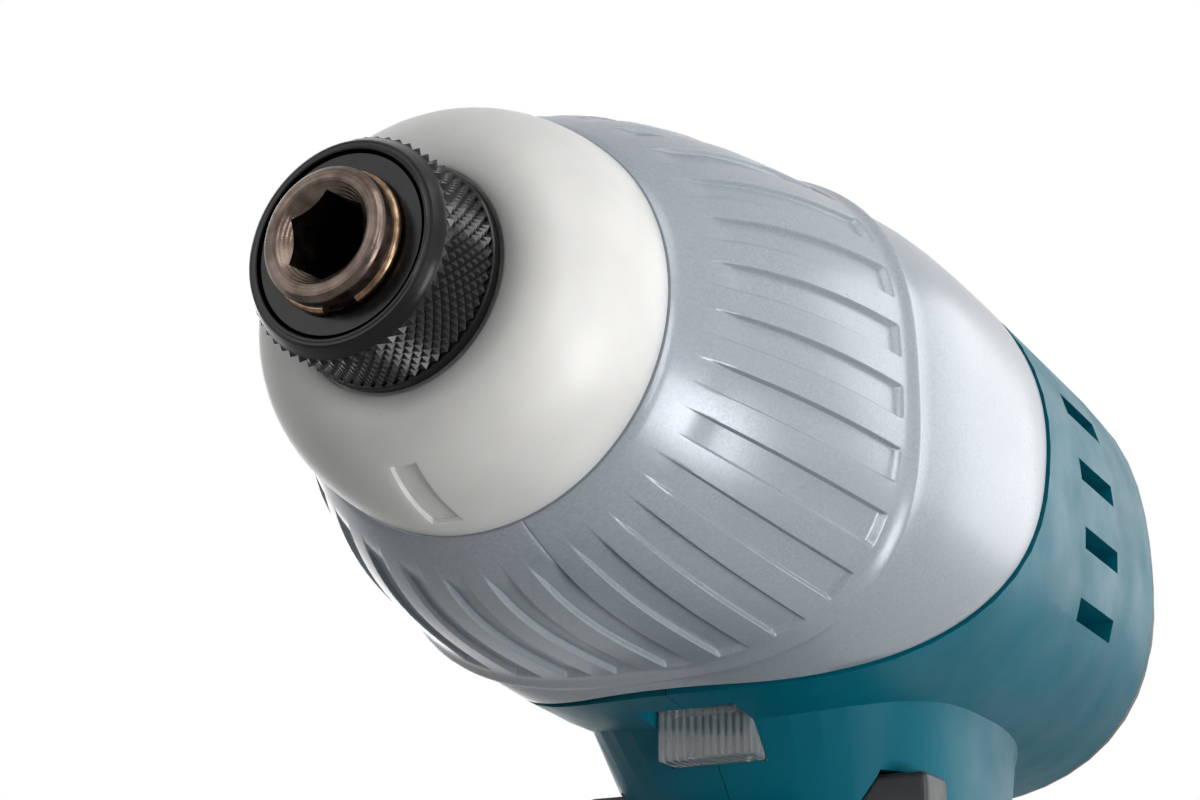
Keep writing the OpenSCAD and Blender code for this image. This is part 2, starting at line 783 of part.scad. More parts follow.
module spring_washer() {
    color("#77736c") band(pocket_out_r - seat, pocket_in_r + seat, spring_washer_s, spring_washer_t);
}
module cam_balls() {
    color("silver") for (a = [0, 180])
        on_axis(cam_s) rotate(a) translate([spindle_r, 0, 0]) sphere(cam_ball_r);
}
module spindle() {
    color("#7d7870") difference() {
        union() {
            turned([[0, spindle_s - pilot_len + over], [pilot_r, spindle_s - pilot_len + over],
                [pilot_r, spindle_s], [spindle_r, spindle_s], [spindle_r, carrier_s],
                [carrier_r, carrier_s], [carrier_r, carrier_s + carrier_t], [0, carrier_s + carrier_t]]);
            turned([[0, carrier_rear_s], [carrier_r, carrier_rear_s], [carrier_r, boss_s], [boss_r, boss_s],
                [boss_r, boss_end], [0, boss_end]]);
            for (k = [0 : planets - 1])
                on_axis(carrier_s + carrier_t / 2) rotate(360 / planets * (k + 1 / 2))
                    translate([orbit_r, 0, 0])
                        cylinder(r = carrier_post_r, h = carrier_rear_s - carrier_s);
        }
        on_axis(carrier_rear_s - seat) cylinder(r = sun_bore_r, h = boss_end);
        for (k = [0 : planets - 1])
            on_axis(carrier_s - over) rotate(360 / planets * k) translate([orbit_r, 0, 0])
                cylinder(r = planet_pin_r + fit, h = boss_s - carrier_s + 2 * over);
        for (a = [0, 180])
            on_axis(cam_s) rotate(a) translate([spindle_r, 0, 0]) sphere(cam_ball_r + snug);
    }
}

// Gear stage
module planet_pins() {
    color("silver") for (k = [0 : planets - 1])
        on_axis(carrier_s) rotate(360 / planets * k) translate([orbit_r, 0, 0])
            cylinder(r = planet_pin_r, h = boss_s - carrier_s);
}
module planet_gear(k) {
    color("#8d877d") on_axis(gear_s) rotate(360 / planets * k) translate([orbit_r, 0, 0])
        linear_extrude(gear_w) difference() {
            rotate(180) outer_gear(planet_teeth);
            circle(planet_pin_r + fit);
        }
}
module planet_gear_1() { planet_gear(0); }
module planet_gear_2() { planet_gear(1); }
module planet_gear_3() { planet_gear(2); }
module ring_gear() {
    color("#938d83") on_axis(gear_s - snug) linear_extrude(gear_w + 2 * snug) difference() {
        circle(ring_r);
        rotate(180 / ring_teeth) inner_gear(ring_teeth);
    }
}
module bearing_box() {
    spigot_in_r = carrier_r + box_wall / 2;
    color("#3a3d40") turned([[spigot_in_r, box_spigot_s], [ring_r, box_spigot_s], [ring_r, box_s],
        [box_flange_r, box_s], [box_flange_r, box_s + box_flange_t], [box_boss_r, box_s + box_flange_t],
        [box_boss_r, box_end], [motor_bearing_r + fit, box_end],
        [motor_bearing_r + fit, front_bearing_s - fit], [box_hole_r, front_bearing_s - fit],
        [box_hole_r, boss_end + snug], [bearing_r + fit, boss_end + snug],
        [bearing_r + fit, bearing_s - fit], [spigot_in_r, bearing_s - fit]]);
}
module spindle_bearing() {
    color("silver") band(bearing_r, boss_r + fit, bearing_s, bearing_w);
}

// Motor
module motor_shaft() {
    color("#a8a8a8") union() {
        on_axis(gear_s + snug) rotate(180 / sun_teeth) linear_extrude(gear_w) outer_gear(sun_teeth);
        on_axis(gear_s + gear_w) cylinder(r = shaft_r, h = shaft_end - gear_s - gear_w);
    }
}
module motor_bearings() {
    color("silver") for (s = [front_bearing_s, rear_bearing_s])
        band(motor_bearing_r, shaft_r + fit, s, motor_bearing_w);
}
module magnet_places(room) {
    for (a = [45 : 90 : 360])
        rotate(a) translate([rotor_r - magnet_back, 0])
            square([magnet_t + 2 * room, magnet_w + 2 * room], center = true);
}
module rotor_core() {
    color("#5d6064") on_axis(stator_s) linear_extrude(stator_len) difference() {
        circle(rotor_r);
        circle(shaft_r + fit);
        magnet_places(snug);
    }
}
module rotor_magnets() {
    color("#2d2d30") on_axis(stator_s) linear_extrude(stator_len) magnet_places(0);
}
module stator_core() {
    color("#6d7074") on_axis(stator_s) linear_extrude(stator_len) difference() {
        union() {
            difference() {
                circle(stator_r);
                circle(stator_r - yoke);
            }
            for (k = [0 : teeth - 1])
                rotate(360 / teeth * k) translate([rotor_r, -tooth_w / 2])
                    square([stator_r - yoke / 2 - rotor_r, tooth_w]);
        }
        circle(rotor_r + air_gap);
    }
}
module stator_coils() {
    in_r = rotor_r + air_gap + coil_in_gap;
    length = stator_r - yoke - coil_out_gap - in_r;
    width = tooth_w + 2 * coil_wall;
    color("#b5652b") for (k = [0 : teeth - 1])
        on_axis(stator_s) rotate(360 / teeth * k) difference() {
            translate([in_r, -width / 2, -coil_over])
                cube([length, width, stator_len + 2 * coil_over]);
            translate([in_r - over, -tooth_w / 2 - fit, -fit])
                cube([length + 2 * over, tooth_w + 2 * fit, stator_len + 2 * fit]);
        }
}
module sensor_board() {
    color("#1f5a3a") band(sensor_out_r, sensor_in_r, sensor_s, board_t);
}
module fan() {
    color("#2b2c2e") difference() {
        union() {
            on_axis(fan_s) cylinder(r = fan_r, h = fan_disc);
            on_axis(fan_s + fan_disc / 2) linear_extrude(fan_w - fan_disc / 2) {
                circle(fan_hub_r);
                for (k = [0 : fan_blades - 1])
                    rotate(360 / fan_blades * k) translate([fan_hub_r - over, -fan_blade_t / 2])
                        square([fan_r - fan_hub_r, fan_blade_t]);
            }
        }
        on_axis(fan_s - over) cylinder(r = shaft_r + fit, h = fan_w + 2 * over);
    }
}

// Housing
module head_half() {
    angles = [for (a = [90 : -head_step : -90]) a];
    n = len(angles);
    function pull(p) = [p[0], max(p[1], parting / 2), p[2]];
    function station(a, f) = mix(seam_s(a) + seam_gap, rear_s, f);
    points = [for (f = head_ring_shares)
        each concat([for (a = angles) let (s = station(a, f)) pull(head_point(a, s, head_r(a, s)))],
            [for (j = [n - 1 : -1 : 0])
                let (a = angles[j], s = station(a, f)) pull(head_point(a, s, cavity_r(s)))])];
    rings = len(head_ring_shares);
    polyhedron(points, concat(grid_faces(rings, 2 * n, false), strip_end(0, n, false),
        strip_end((rings - 1) * 2 * n, n, true)));
}
module grip_half(rows, first, inner, outer, drop) {
    angles = [for (a = [first * grip_step : grip_step : 180]) a];
    n = len(angles);
    points = [for (i = rows)
        each concat([for (a = angles) grip_point(i, a, outer, 0)],
            [for (j = [n - 1 : -1 : 0]) grip_point(i, angles[j], inner, drop)])];
    polyhedron(points, concat(grid_faces(len(rows), 2 * n, false), strip_end(0, n, false),
        strip_end((len(rows) - 1) * 2 * n, n, true)));
}
module screw_spots() {
    for (p = screw_spot_shares)
        translate([p[0] * grip_depth, 0, foot_z + p[1] * foot_rise + p[2] * (grip_h - foot_rise)])
            children();
}
module housing_half() {
    difference() {
        union() {
            head_half();
            difference() {
                grip_half(grip_rows, 0, housing_wall, 0, housing_wall);
                on_axis(front_cavity_s - over)
                    cylinder(r = motor_cavity_r, h = rear_s - front_cavity_s + over);
            }
            intersection() {
                band(motor_cavity_r + rib_sink, box_boss_r + snug, rib_s, rib_w);
                box_from([tip_x - head_len, parting / 2, axis_h - body_w],
                    [tip_x, body_w, axis_h + body_w]);
            }
            box_from([-lip_l / 2, neck_w / 2 + neck_side, foot_z],
                [lip_l / 2, neck_w / 2 + neck_side + lip_w, neck_z - lip_drop]);
            box_from([-hook_boss_l / 2, foot_half_w - hook_wall_sink - hook_boss_w, foot_z],
                [hook_boss_l / 2, foot_half_w - hook_wall_sink, row_z(1)]);
            screw_spots() along_y(0, parting / 2, 0) cylinder(r = screw_boss_r, h = screw_boss_y);
            box_from([shelf_x, control_w / 2 - shelf_lap, board_z - snug - shelf_t],
                [shelf_x + shelf_l, shelf_end, board_z - snug]);
            box_from([switch_x - switch_l / 2 - switch_rib_l / 2, switch_w / 2 + snug,
                trigger_z - switch_rib_h / 2],
                [switch_x - switch_l / 2 + switch_rib_l / 2, switch_rib_end, trigger_z + switch_rib_h / 2]);
        }
        box_from([switch_x, -trigger_w / 2 - seat, trigger_z - trigger_h / 2 - seat],
            [trigger_face_x, trigger_w / 2 + seat, trigger_z + trigger_h / 2 + seat]);
        box_from([lever_x - lever_t / 2 - seat, -lever_len, lever_z - lever_h / 2 - seat],
            [lever_x + lever_t / 2 + seat, lever_len, lever_z + lever_h / 2 + seat]);
        box_from([lamp_x - lamp_in - seat, -lamp_w / 2 - snug, lamp_z - lamp_h / 2 - snug],
            [lamp_x + lamp_in, lamp_w / 2 + snug, lamp_z + lamp_h / 2 + snug]);
        on_panel() translate([-panel_l / 2 - snug, -panel_w / 2 - snug, -panel_in])
            cube([panel_l + 2 * snug, panel_w + 2 * snug, grip_depth]);
        box_from([motor_leads_x - lead_port_l / 2, -lead_port_w / 2, axis_h - body_half_h - over],
            [motor_leads_x + lead_port_l / 2, lead_port_w / 2, axis_h - motor_cavity_r + 2 * over]);
        box_from([slot_x, -neck_flange_w / 2 - slot_room, foot_z - over],
            [slot_x + grip_depth, neck_flange_w / 2 + slot_room, neck_top + slot_room]);
        along_y(0, foot_half_w - hook_wall_sink - hook_boss_w - over, foot_z + hook_rise)
            cylinder(r = hook_bore_r, h = hook_boss_w + hook_wall_sink + 2 * over);
        for (f = vent_shares)
            on_axis(stator_s + vent_back)
                translate([f * body_half_h - vent_h / 2, 0, 0]) cube([vent_h, body_w, vent_l]);
        for (z = [-1, 1])
            on_axis(rear_s - rear_screw_grip - over) rotate(90 - 45 * z)
                translate([rear_screw_place_r, 0, 0])
                    cylinder(r = rear_screw_r + snug, h = rear_screw_grip + 2 * over);
    }
}
module left_housing() {
    color("#00626e") difference() {
        housing_half();
        screw_spots() along_y(0, -over, 0) cylinder(r = screw_r + snug, h = screw_tip_y + 2 * over);
    }
}
module right_housing() {
    color("#00626e") difference() {
        mirror([0, 1, 0]) housing_half();
        screw_spots() along_y(0, -screw_seat_y - over, 0)
            cylinder(r = screw_r + snug, h = screw_seat_y + 2 * over);
        screw_spots() along_y(0, -foot_half_w - screw_seat_y, 0)
            cylinder(r = screw_head_r + seat, h = foot_half_w);
    }
}
module housing_screws() {
    color("#3c3c3e") screw_spots() union() {
        along_y(0, -screw_seat_y - screw_head_t, 0) cylinder(r = screw_head_r, h = screw_head_t);
        along_y(0, -screw_seat_y - over, 0) cylinder(r = screw_r, h = screw_seat_y + screw_tip_y + over);
    }
}
module rubber_half() {
    grip_half(rubber_rows, rubber_first, -rubber_gap, -rubber_gap - rubber_t, 0);
}
module left_grip() { color("#222426") rubber_half(); }
module right_grip() { color("#222426") mirror([0, 1, 0]) rubber_half(); }
module rear_cover() {
    angles = [for (a = [360 : -head_step : head_step]) a];
    n = len(angles);
    rings = len(rear_ring_shares);
    points = [for (f = rear_ring_shares, a = angles)
        let (s = mix(rear_s + snug, head_len, f)) head_point(a, s, head_r(a, s))];
    wall_s = head_len - 2 * housing_wall;
    color("#1d2326") difference() {
        polyhedron(points, concat(grid_faces(rings, n, false), fan_end(0, n, false),
            fan_end((rings - 1) * n, n, true)));
        band(fan_r + rear_bearing_gap, motor_bearing_r + housing_wall, rear_s - over,
            wall_s - rear_s + over);
        on_axis(rear_s - over)
            cylinder(r = motor_bearing_r + housing_wall + over, h = rear_bearing_s - rear_s + over - fit);
        on_axis(rear_s - over) cylinder(r = motor_bearing_r + fit, h = shaft_end - rear_s + over + snug);
        for (f = vent_shares, side = [-1, 1])
            on_axis(rear_vent_s)
                translate([f * body_half_h - vent_h / 2, side * body_w / 2 - rear_vent_in, 0])
                    cube([vent_h, 2 * rear_vent_in, rear_vent_l]);
        rear_screw_places() {
            translate([0, 0, rear_s - over]) cylinder(r = rear_screw_r + snug, h = rear_len);
            translate([0, 0, rear_s + rear_screw_web])
                cylinder(r = rear_screw_head_r + seat, h = rear_len);
        }
    }
}
module rear_screw_places() {
    for (a = [45 : 90 : 360]) on_axis(0) rotate(a) translate([rear_screw_place_r, 0, 0]) children();
}
module rear_screws() {
    color("#3c3c3e") rear_screw_places() union() {
        translate([0, 0, rear_s - rear_screw_grip])
            cylinder(r = rear_screw_r, h = rear_screw_grip + rear_screw_web);
        translate([0, 0, rear_s + rear_screw_web]) cylinder(r = rear_screw_head_r, h = screw_head_t);
    }
}

// Controls
module trigger() {
    color("#17181a") union() {
        translate([0, trigger_w / 2, trigger_z]) rotate([90, 0, 0])
            linear_extrude(trigger_w) difference() {
                translate([trigger_back_x, -trigger_h / 2])
                    square([trigger_face_x + trigger_horn - trigger_back_x, trigger_h]);
                translate([trigger_face_x + trigger_dish_r, 0]) circle(trigger_dish_r);
            }
        translate([switch_x - stem_in, 0, trigger_z]) rotate([0, 90, 0])
            cylinder(r = stem_r, h = trigger_back_x - switch_x + stem_in + over);
    }
}
module trigger_spring() {
    color("silver") translate([switch_x + fit, 0, trigger_z]) rotate([0, 90, 0])
        coil(stem_r + 2 * trigger_wire, trigger_wire, trigger_turns, trigger_back_x - switch_x - 2 * fit);
}
module switch_body() {
    color("#26282a") difference() {
        box_from([switch_x - switch_l, -switch_w / 2, trigger_z - switch_h / 2],
            [switch_x, switch_w / 2, trigger_z + switch_h / 2]);
        translate([switch_x + over, 0, trigger_z]) rotate([0, -90, 0])
            cylinder(r = stem_r + fit, h = stem_in + trigger_travel + 2 * over);
    }
}
module direction_lever() {
    color("#17181a") translate([lever_x, 0, lever_z]) union() {
        cube([lever_t, lever_len, lever_h], center = true);
        for (side = [-1, 1])
            along_y(0, side * (lever_len / 2 - lever_travel / 2), 0)
                cylinder(r = lever_h / 2, h = lever_travel, center = true);
    }
}
module lamp_lens() {
    color("#e8eef2") box_from([lamp_x - lamp_in, -lamp_w / 2, lamp_z - lamp_h / 2],
        [lamp_x + lamp_out, lamp_w / 2, lamp_z + lamp_h / 2]);
}
module on_panel() { translate([panel_x, 0, panel_z]) rotate([0, panel_tilt, 0]) children(); }
module button_places() { for (side = [-1, 1]) translate([0, side * button_spread, 0]) children(); }
module button_panel() {
    color("#2a2d30") on_panel() difference() {
        translate([-panel_l / 2, -panel_w / 2, snug - panel_in])
            cube([panel_l, panel_w, panel_in + panel_out]);
        button_places() translate([0, 0, -panel_in - over])
            cylinder(r = button_r + fit, h = panel_in + panel_out + 2 * over);
    }
}
module panel_button(side) {
    color("#5b6065") on_panel() translate([0, side * button_spread, -button_in])
        cylinder(r = button_r, h = button_in + button_out);
}
module lamp_button() { panel_button(1); }
module mode_button() { panel_button(-1); }
module control_board() {
    color("#1f5a3a") box_from([control_x, -control_w / 2, board_z],
        [control_x + control_l, control_w / 2, board_z + control_t]);
}
module terminal_block() {
    color("#202224") box_from([block_x, -block_w / 2, battery_h + channel_floor + block_rise],
        [block_x + block_l, block_w / 2, board_z - snug]);
}
module tool_contacts() {
    low = battery_h + channel_floor + block_rise - contact_drop;
    color("#c9a227") for (side = [-1, 1])
        box_from([block_x + contact_end, side * contact_y - contact_t / 2, low],
            [block_x + block_l - contact_end, side * contact_y + contact_t / 2,
                low + contact_drop - fit]);
}
module leads() {
    color("#b03030") union() {
        for (side = [-1, 1])
            translate([lead_x, side * lead_y, board_z + control_t + snug])
                cylinder(r = lead_r, h = trigger_z - switch_h / 2 - board_z - control_t - 2 * snug);
        for (k = [-1 : 1])
            translate([motor_leads_x + k * motor_lead_pitch, 0, trigger_z + switch_h / 2 + snug])
                cylinder(r = motor_lead_r,
                    h = axis_h - stator_r - seat - trigger_z - switch_h / 2 - snug);
    }
}

// Belt hook
module belt_hook() {
    bend_r = hook_gap / 2 + hook_t;
    in_y = -foot_half_w - snug;
    color("#c9cbcd") difference() {
        translate([0, 0, foot_z + hook_rise - hook_h / 2]) linear_extrude(hook_h) union() {
            translate([hook_rear, in_y - hook_t]) square([hook_front - hook_rear, hook_t]);
            translate([hook_rear, in_y - 2 * bend_r]) square([hook_tip - hook_rear, hook_t]);
            intersection() {
                translate([hook_rear, in_y - bend_r]) difference() {
                    circle(bend_r);
                    circle(hook_gap / 2);
                }
                translate([hook_rear - bend_r - over, in_y - 2 * bend_r - over])
                    square([bend_r + over + fit, 2 * bend_r + 2 * over]);
            }
        }
        along_y(0, in_y - hook_t - over, foot_z + hook_rise)
            cylinder(r = hook_screw_r + snug, h = hook_t + 2 * over);
    }
}
module hook_screw() {
    in_y = -foot_half_w - snug - hook_t;
    color("#3c3c3e") union() {
        along_y(0, in_y - hook_screw_head_t, foot_z + hook_rise)
            cylinder(r = hook_screw_head_r, h = hook_screw_head_t);
        along_y(0, in_y - over, foot_z + hook_rise)
            cylinder(r = hook_screw_r, h = hook_t + hook_wall_sink + hook_boss_w);
    }
}

// Battery
module battery_prism(z, top, inset) {
    translate([battery_x, 0, z]) linear_extrude(top - z)
        rounded(battery_len - 2 * inset, battery_w - 2 * inset, battery_corner - inset);
}
module case_screw_places() {
    for (x = [-1, 1], y = [-1, 1])
        translate([battery_x + x * (battery_len / 2 - case_screw_inset_x),
            y * (battery_w / 2 - case_screw_inset_y), 0]) children();
}
module battery_lower() {
    color("#1b1d1f") difference() {
        union() {
            difference() {
                battery_prism(0, battery_split, 0);
                battery_prism(battery_floor, battery_split + over, battery_wall);
            }
            intersection() {
                case_screw_places() cylinder(r = case_screw_boss_r, h = battery_split);
                battery_prism(0, battery_split, 0);
            }
        }
        case_screw_places() {
            translate([0, 0, -over]) cylinder(r = case_screw_r + snug, h = battery_split + 2 * over);
            translate([0, 0, -over]) cylinder(r = case_screw_head_r + snug, h = case_screw_sink + over);
        }
        for (side = [-1, 1], k = [0 : groove_count - 1])
            translate([battery_x, side * battery_w / 2, groove_z + k * groove_pitch])
                cube([groove_l, 2 * groove_deep, groove_h], center = true);
    }
}
module battery_upper() {
    low = battery_split + snug;
    roof_z = battery_h - battery_roof;
    latch_x = latch_front - latch_back;
    color("#1b1d1f") difference() {
        union() {
            difference() {
                battery_prism(low, battery_h, 0);
                battery_prism(low - over, roof_z, battery_wall);
            }
            box_from([-neck_l / 2, -neck_w / 2, battery_h - over], [neck_l / 2, neck_w / 2, neck_top]);
            box_from([-neck_l / 2, -neck_flange_w / 2, neck_z], [neck_l / 2, neck_flange_w / 2, neck_top]);
            intersection() {
                case_screw_places() translate([0, 0, low])
                    cylinder(r = case_screw_boss_r, h = roof_z - low);
                battery_prism(low, battery_h, 0);
            }
            box_from([latch_x - latch_hook_t, -ledge_w / 2, ledge_z - ledge_t],
                [latch_front - battery_wall / 2, ledge_w / 2, ledge_z]);
        }
        box_from([-neck_l, -channel_w / 2, battery_h + channel_floor],
            [channel_front, channel_w / 2, neck_top + over]);
        box_from([latch_front - battery_wall - over, -latch_w / 2 - seat, latch_z - latch_travel - seat],
            [latch_front + over, latch_w / 2 + seat, latch_z + latch_h + seat]);
        box_from([latch_x - latch_hook_t - seat, -latch_hook_w / 2 - seat, roof_z - over],
            [latch_x + seat, latch_hook_w / 2 + seat, neck_top]);
        translate([battery_x - battery_len / 2 - over, gauge_y, gauge_z]) rotate([0, 90, 0])
            cylinder(r = gauge_r + fit, h = battery_wall + 2 * over);
        case_screw_places() translate([0, 0, low - over])
            cylinder(r = case_screw_r + fit, h = case_screw_reach + 2 * over);
    }
}
module battery_screws() {
    head_z = case_screw_sink - case_screw_head_t;
    color("#3c3c3e") case_screw_places() union() {
        translate([0, 0, head_z]) cylinder(r = case_screw_head_r, h = case_screw_head_t - fit);
        translate([0, 0, head_z + over])
            cylinder(r = case_screw_r, h = battery_split + case_screw_reach - head_z - over);
    }
}
module cell_places() {
    for (i = [0 : cells_long - 1], k = [0 : cells_high - 1])
        translate([battery_x + (i - (cells_long - 1) / 2) * cell_pitch, 0, cell_z + k * cell_rise])
            rotate([90, 0, 0]) children();
}
module battery_cells() {
    color("#4a7a9c") cell_places() cylinder(r = cell_r, h = cell_len, center = true);
}
module cell_holder() {
    color("#d9d9d4") difference() {
        for (side = [-1, 1])
            translate([battery_x - holder_l / 2, side * (holder_in + holder_t / 2) - holder_t / 2,
                battery_floor + seat / 2])
                cube([holder_l, holder_t, holder_h]);
        cell_places() cylinder(r = cell_r + snug, h = cell_len, center = true);
    }
}
module battery_latch() {
    latch_x = latch_front - latch_back;
    color("#b8312b") union() {
        box_from([latch_x, -latch_w / 2, latch_z],
            [latch_front + latch_out, latch_w / 2, latch_z + latch_h]);
        box_from([latch_x - latch_hook_t, -latch_hook_w / 2, latch_z],
            [latch_x + fit, latch_hook_w / 2, battery_h + latch_hook_rise]);
    }
}
module latch_spring() {
    color("silver") translate([latch_front - latch_back, 0, ledge_z + fit])
        coil(latch_spring_r, latch_wire, latch_turns, latch_z - ledge_z - 2 * fit);
}
module gauge_button() {
    color("#5b6065") translate([battery_x - battery_len / 2 - gauge_out, gauge_y, gauge_z])
        rotate([0, 90, 0]) cylinder(r = gauge_r, h = battery_wall + gauge_out);
}

anvil();
snap_ring();
sleeve_washer();
sleeve_spring();
bit_sleeve();
detent_balls();
nose_bumper();
nose_cover();
hammer_case();
anvil_bush();
thrust_washer();
hammer();
hammer_spring();
spring_washer();
cam_balls();
spindle();
planet_pins();
planet_gear_1();
planet_gear_2();
planet_gear_3();
ring_gear();
bearing_box();
spindle_bearing();
motor_shaft();
motor_bearings();
rotor_core();
rotor_magnets();
stator_core();
stator_coils();
sensor_board();
fan();
left_housing();
right_housing();
left_grip();
right_grip();
rear_cover();
housing_screws();
rear_screws();
trigger();
trigger_spring();
switch_body();
direction_lever();
lamp_lens();
control_board();
terminal_block();
tool_contacts();
leads();
button_panel();
lamp_button();
mode_button();
belt_hook();
hook_screw();
battery_lower();
battery_upper();
battery_cells();
cell_holder();
battery_latch();
latch_spring();
gauge_button();
battery_screws();
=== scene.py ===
"""Cordless impact driver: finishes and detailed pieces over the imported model."""
import json
import math

import bpy
from mathutils import Matrix, Vector


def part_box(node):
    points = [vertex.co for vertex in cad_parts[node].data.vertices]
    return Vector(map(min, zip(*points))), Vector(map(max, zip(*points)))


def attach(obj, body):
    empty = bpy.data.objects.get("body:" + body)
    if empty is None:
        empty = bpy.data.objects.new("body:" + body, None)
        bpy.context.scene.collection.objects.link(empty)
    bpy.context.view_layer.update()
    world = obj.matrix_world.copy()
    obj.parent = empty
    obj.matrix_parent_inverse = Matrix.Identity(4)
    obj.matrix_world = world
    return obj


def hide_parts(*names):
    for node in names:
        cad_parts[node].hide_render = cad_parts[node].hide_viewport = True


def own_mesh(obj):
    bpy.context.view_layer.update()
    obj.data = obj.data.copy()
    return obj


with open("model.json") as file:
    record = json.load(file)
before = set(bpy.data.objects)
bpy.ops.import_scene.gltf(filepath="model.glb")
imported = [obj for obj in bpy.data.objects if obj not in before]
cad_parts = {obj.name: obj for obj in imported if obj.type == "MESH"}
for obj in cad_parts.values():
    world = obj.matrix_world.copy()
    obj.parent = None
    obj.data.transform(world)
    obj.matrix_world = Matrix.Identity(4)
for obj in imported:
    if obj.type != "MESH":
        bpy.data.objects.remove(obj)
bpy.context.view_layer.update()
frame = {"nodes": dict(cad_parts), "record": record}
NODES = frame["nodes"]
BODY_OF = {n: body for body, names in frame["record"]["behaviour"]["bodies"].items() for n in names}
SLOT_OF = {p["node"]: p["material_slot"] for p in frame["record"]["subparts"]}

bl_info = {
    "name": "Impact driver",
    "version": (1, 0, 0),
    "blender": (4, 5, 0),
    "location": "3D View > Sidebar > Impact driver",
    "description": "Dresses a cordless impact driver with its finishes and detailed pieces",
    "category": "Object",
}

MM = 0.001
TIP = Vector((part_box("anvil")[1][0], 0.0, (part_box("anvil")[0][2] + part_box("anvil")[1][2]) / 2))
AXIS = TIP.z


class DriverSizes(bpy.types.PropertyGroup):
    """Sizes of the detailed pieces."""
    knurl_depth: bpy.props.FloatProperty(
        name="Knurl depth", description="Depth of the sleeve's diamond knurl", default=0.42 * MM,
        min=0.1 * MM, max=0.8 * MM, unit="LENGTH", precision=5)
    flute_depth: bpy.props.FloatProperty(
        name="Flute depth", description="Depth of the nose cover's flutes", default=0.6 * MM,
        min=0.2 * MM, max=1.0 * MM, unit="LENGTH", precision=5)
    edge_round: bpy.props.FloatProperty(
        name="Edge round", description="Rounding of moulded edges", default=0.5 * MM,
        min=0.1 * MM, max=1.0 * MM, unit="LENGTH", precision=5)


class DriverColours(bpy.types.PropertyGroup):
    """Colours of the main finishes, as sRGB hex values."""
    body: bpy.props.StringProperty(
        name="Body", description="Housing plastic", default="#005D6F")
    cover: bpy.props.StringProperty(
        name="Nose cover", description="Pearl plastic of the nose cover", default="#969DA5")
    bumper: bpy.props.StringProperty(
        name="Bumper", description="Milky elastomer of the nose bumper", default="#D8D7D4")
    grip: bpy.props.StringProperty(
        name="Grip", description="Rubber of the grip", default="#1E2022")
    dark: bpy.props.StringProperty(
        name="Dark plastic", description="Battery, trigger and rear cover", default="#1B1D20")


def linear(colour):
    """An sRGB hex value as linear RGBA."""
    parts = [int(colour[i:i + 2], 16) / 255 for i in (1, 3, 5)]
    return [c / 12.92 if c <= 0.04045 else ((c + 0.055) / 1.055) ** 2.4 for c in parts] + [1.0]


def per_mm(size):
    """Texture scale that gives features of that size in millimetres."""
    return 1.0 / (size * MM)


def add(tree, kind, links=None, **settings):
    """Adds a node: settings are its properties or its sockets' values, links its inputs."""
    node = tree.nodes.new("ShaderNode" + kind)
    for key, value in settings.items():
        if hasattr(node, key):
            setattr(node, key, value)
        else:
            node.inputs[key.replace("_", " ")].default_value = value
    for key, source in (links or {}).items():
        tree.links.new(source, node.inputs[key])
    return node


def material(name, colour, **values):
    """A material with its shader's plain values set on the shader's own sockets."""
    made = bpy.data.materials.new(name)
    made.use_nodes = True
    tree = made.node_tree
    shader = tree.nodes["Principled BSDF"]
    shader.inputs["Base Color"].default_value = linear(colour)
    for key, value in values.items():
        shader.inputs[key.replace("_", " ")].default_value = value
    where = add(tree, "TexCoord").outputs["Object"]
    return made, tree, shader, where


def mottle(tree, shader, where, low, high, size, detail=3.0):
    """Colour that drifts between two values over patches of that size in millimetres."""
    patch = add(tree, "TexNoise", {"Vector": where}, Scale=per_mm(size), Detail=detail)
    ramp = add(tree, "ValToRGB", {"Fac": patch.outputs["Fac"]})
    ramp.color_ramp.elements[0].position = 0.35
    ramp.color_ramp.elements[1].position = 0.68
    ramp.color_ramp.elements[0].color = linear(low)
    ramp.color_ramp.elements[1].color = linear(high)
    tree.links.new(ramp.outputs["Color"], shader.inputs["Base Color"])
    return ramp


def roughness_drift(tree, shader, where, low, high, size):
    """Roughness that drifts between two values over patches of that size."""
    patch = add(tree, "TexNoise", {"Vector": where}, Scale=per_mm(size), Detail=4.0)
    spread = add(tree, "MapRange", {"Value": patch.outputs["Fac"]}, From_Min=0.3, From_Max=0.7,
                 To_Min=low, To_Max=high)
    tree.links.new(spread.outputs["Result"], shader.inputs["Roughness"])


def raise_bump(tree, shader, height, depth):
    """Bump of that depth in millimetres."""
    bump = add(tree, "Bump", {"Height": height}, Strength=1.0, Distance=depth * MM)
    tree.links.new(bump.outputs["Normal"], shader.inputs["Normal"])


def from_axis(tree, where):
    """Distance from the drive axis, in metres."""
    centred = add(tree, "Mapping", {"Vector": where}, Location=(0.0, 0.0, -AXIS))
    flat = add(tree, "VectorMath", {0: centred.outputs["Vector"]}, operation="MULTIPLY")
    flat.inputs[1].default_value = (0.0, 1.0, 1.0)
    return add(tree, "VectorMath", {0: flat.outputs["Vector"]}, operation="LENGTH").outputs["Value"]


def wave(tree, value, spacing):
    """A sine along a distance, with that spacing in millimetres."""
    turned = add(tree, "Math", {0: value}, operation="MULTIPLY")
    turned.inputs[1].default_value = 2 * math.pi / (spacing * MM)
    return add(tree, "Math", {0: turned.outputs["Value"]}, operation="SINE").outputs["Value"]


def patchy(name, colour, low, high, size, detail=3.0, **values):
    """A plain finish whose colour drifts over patches of that size."""
    made, tree, shader, where = material(name, colour, **values)
    mottle(tree, shader, where, low, high, size, detail)
    return made


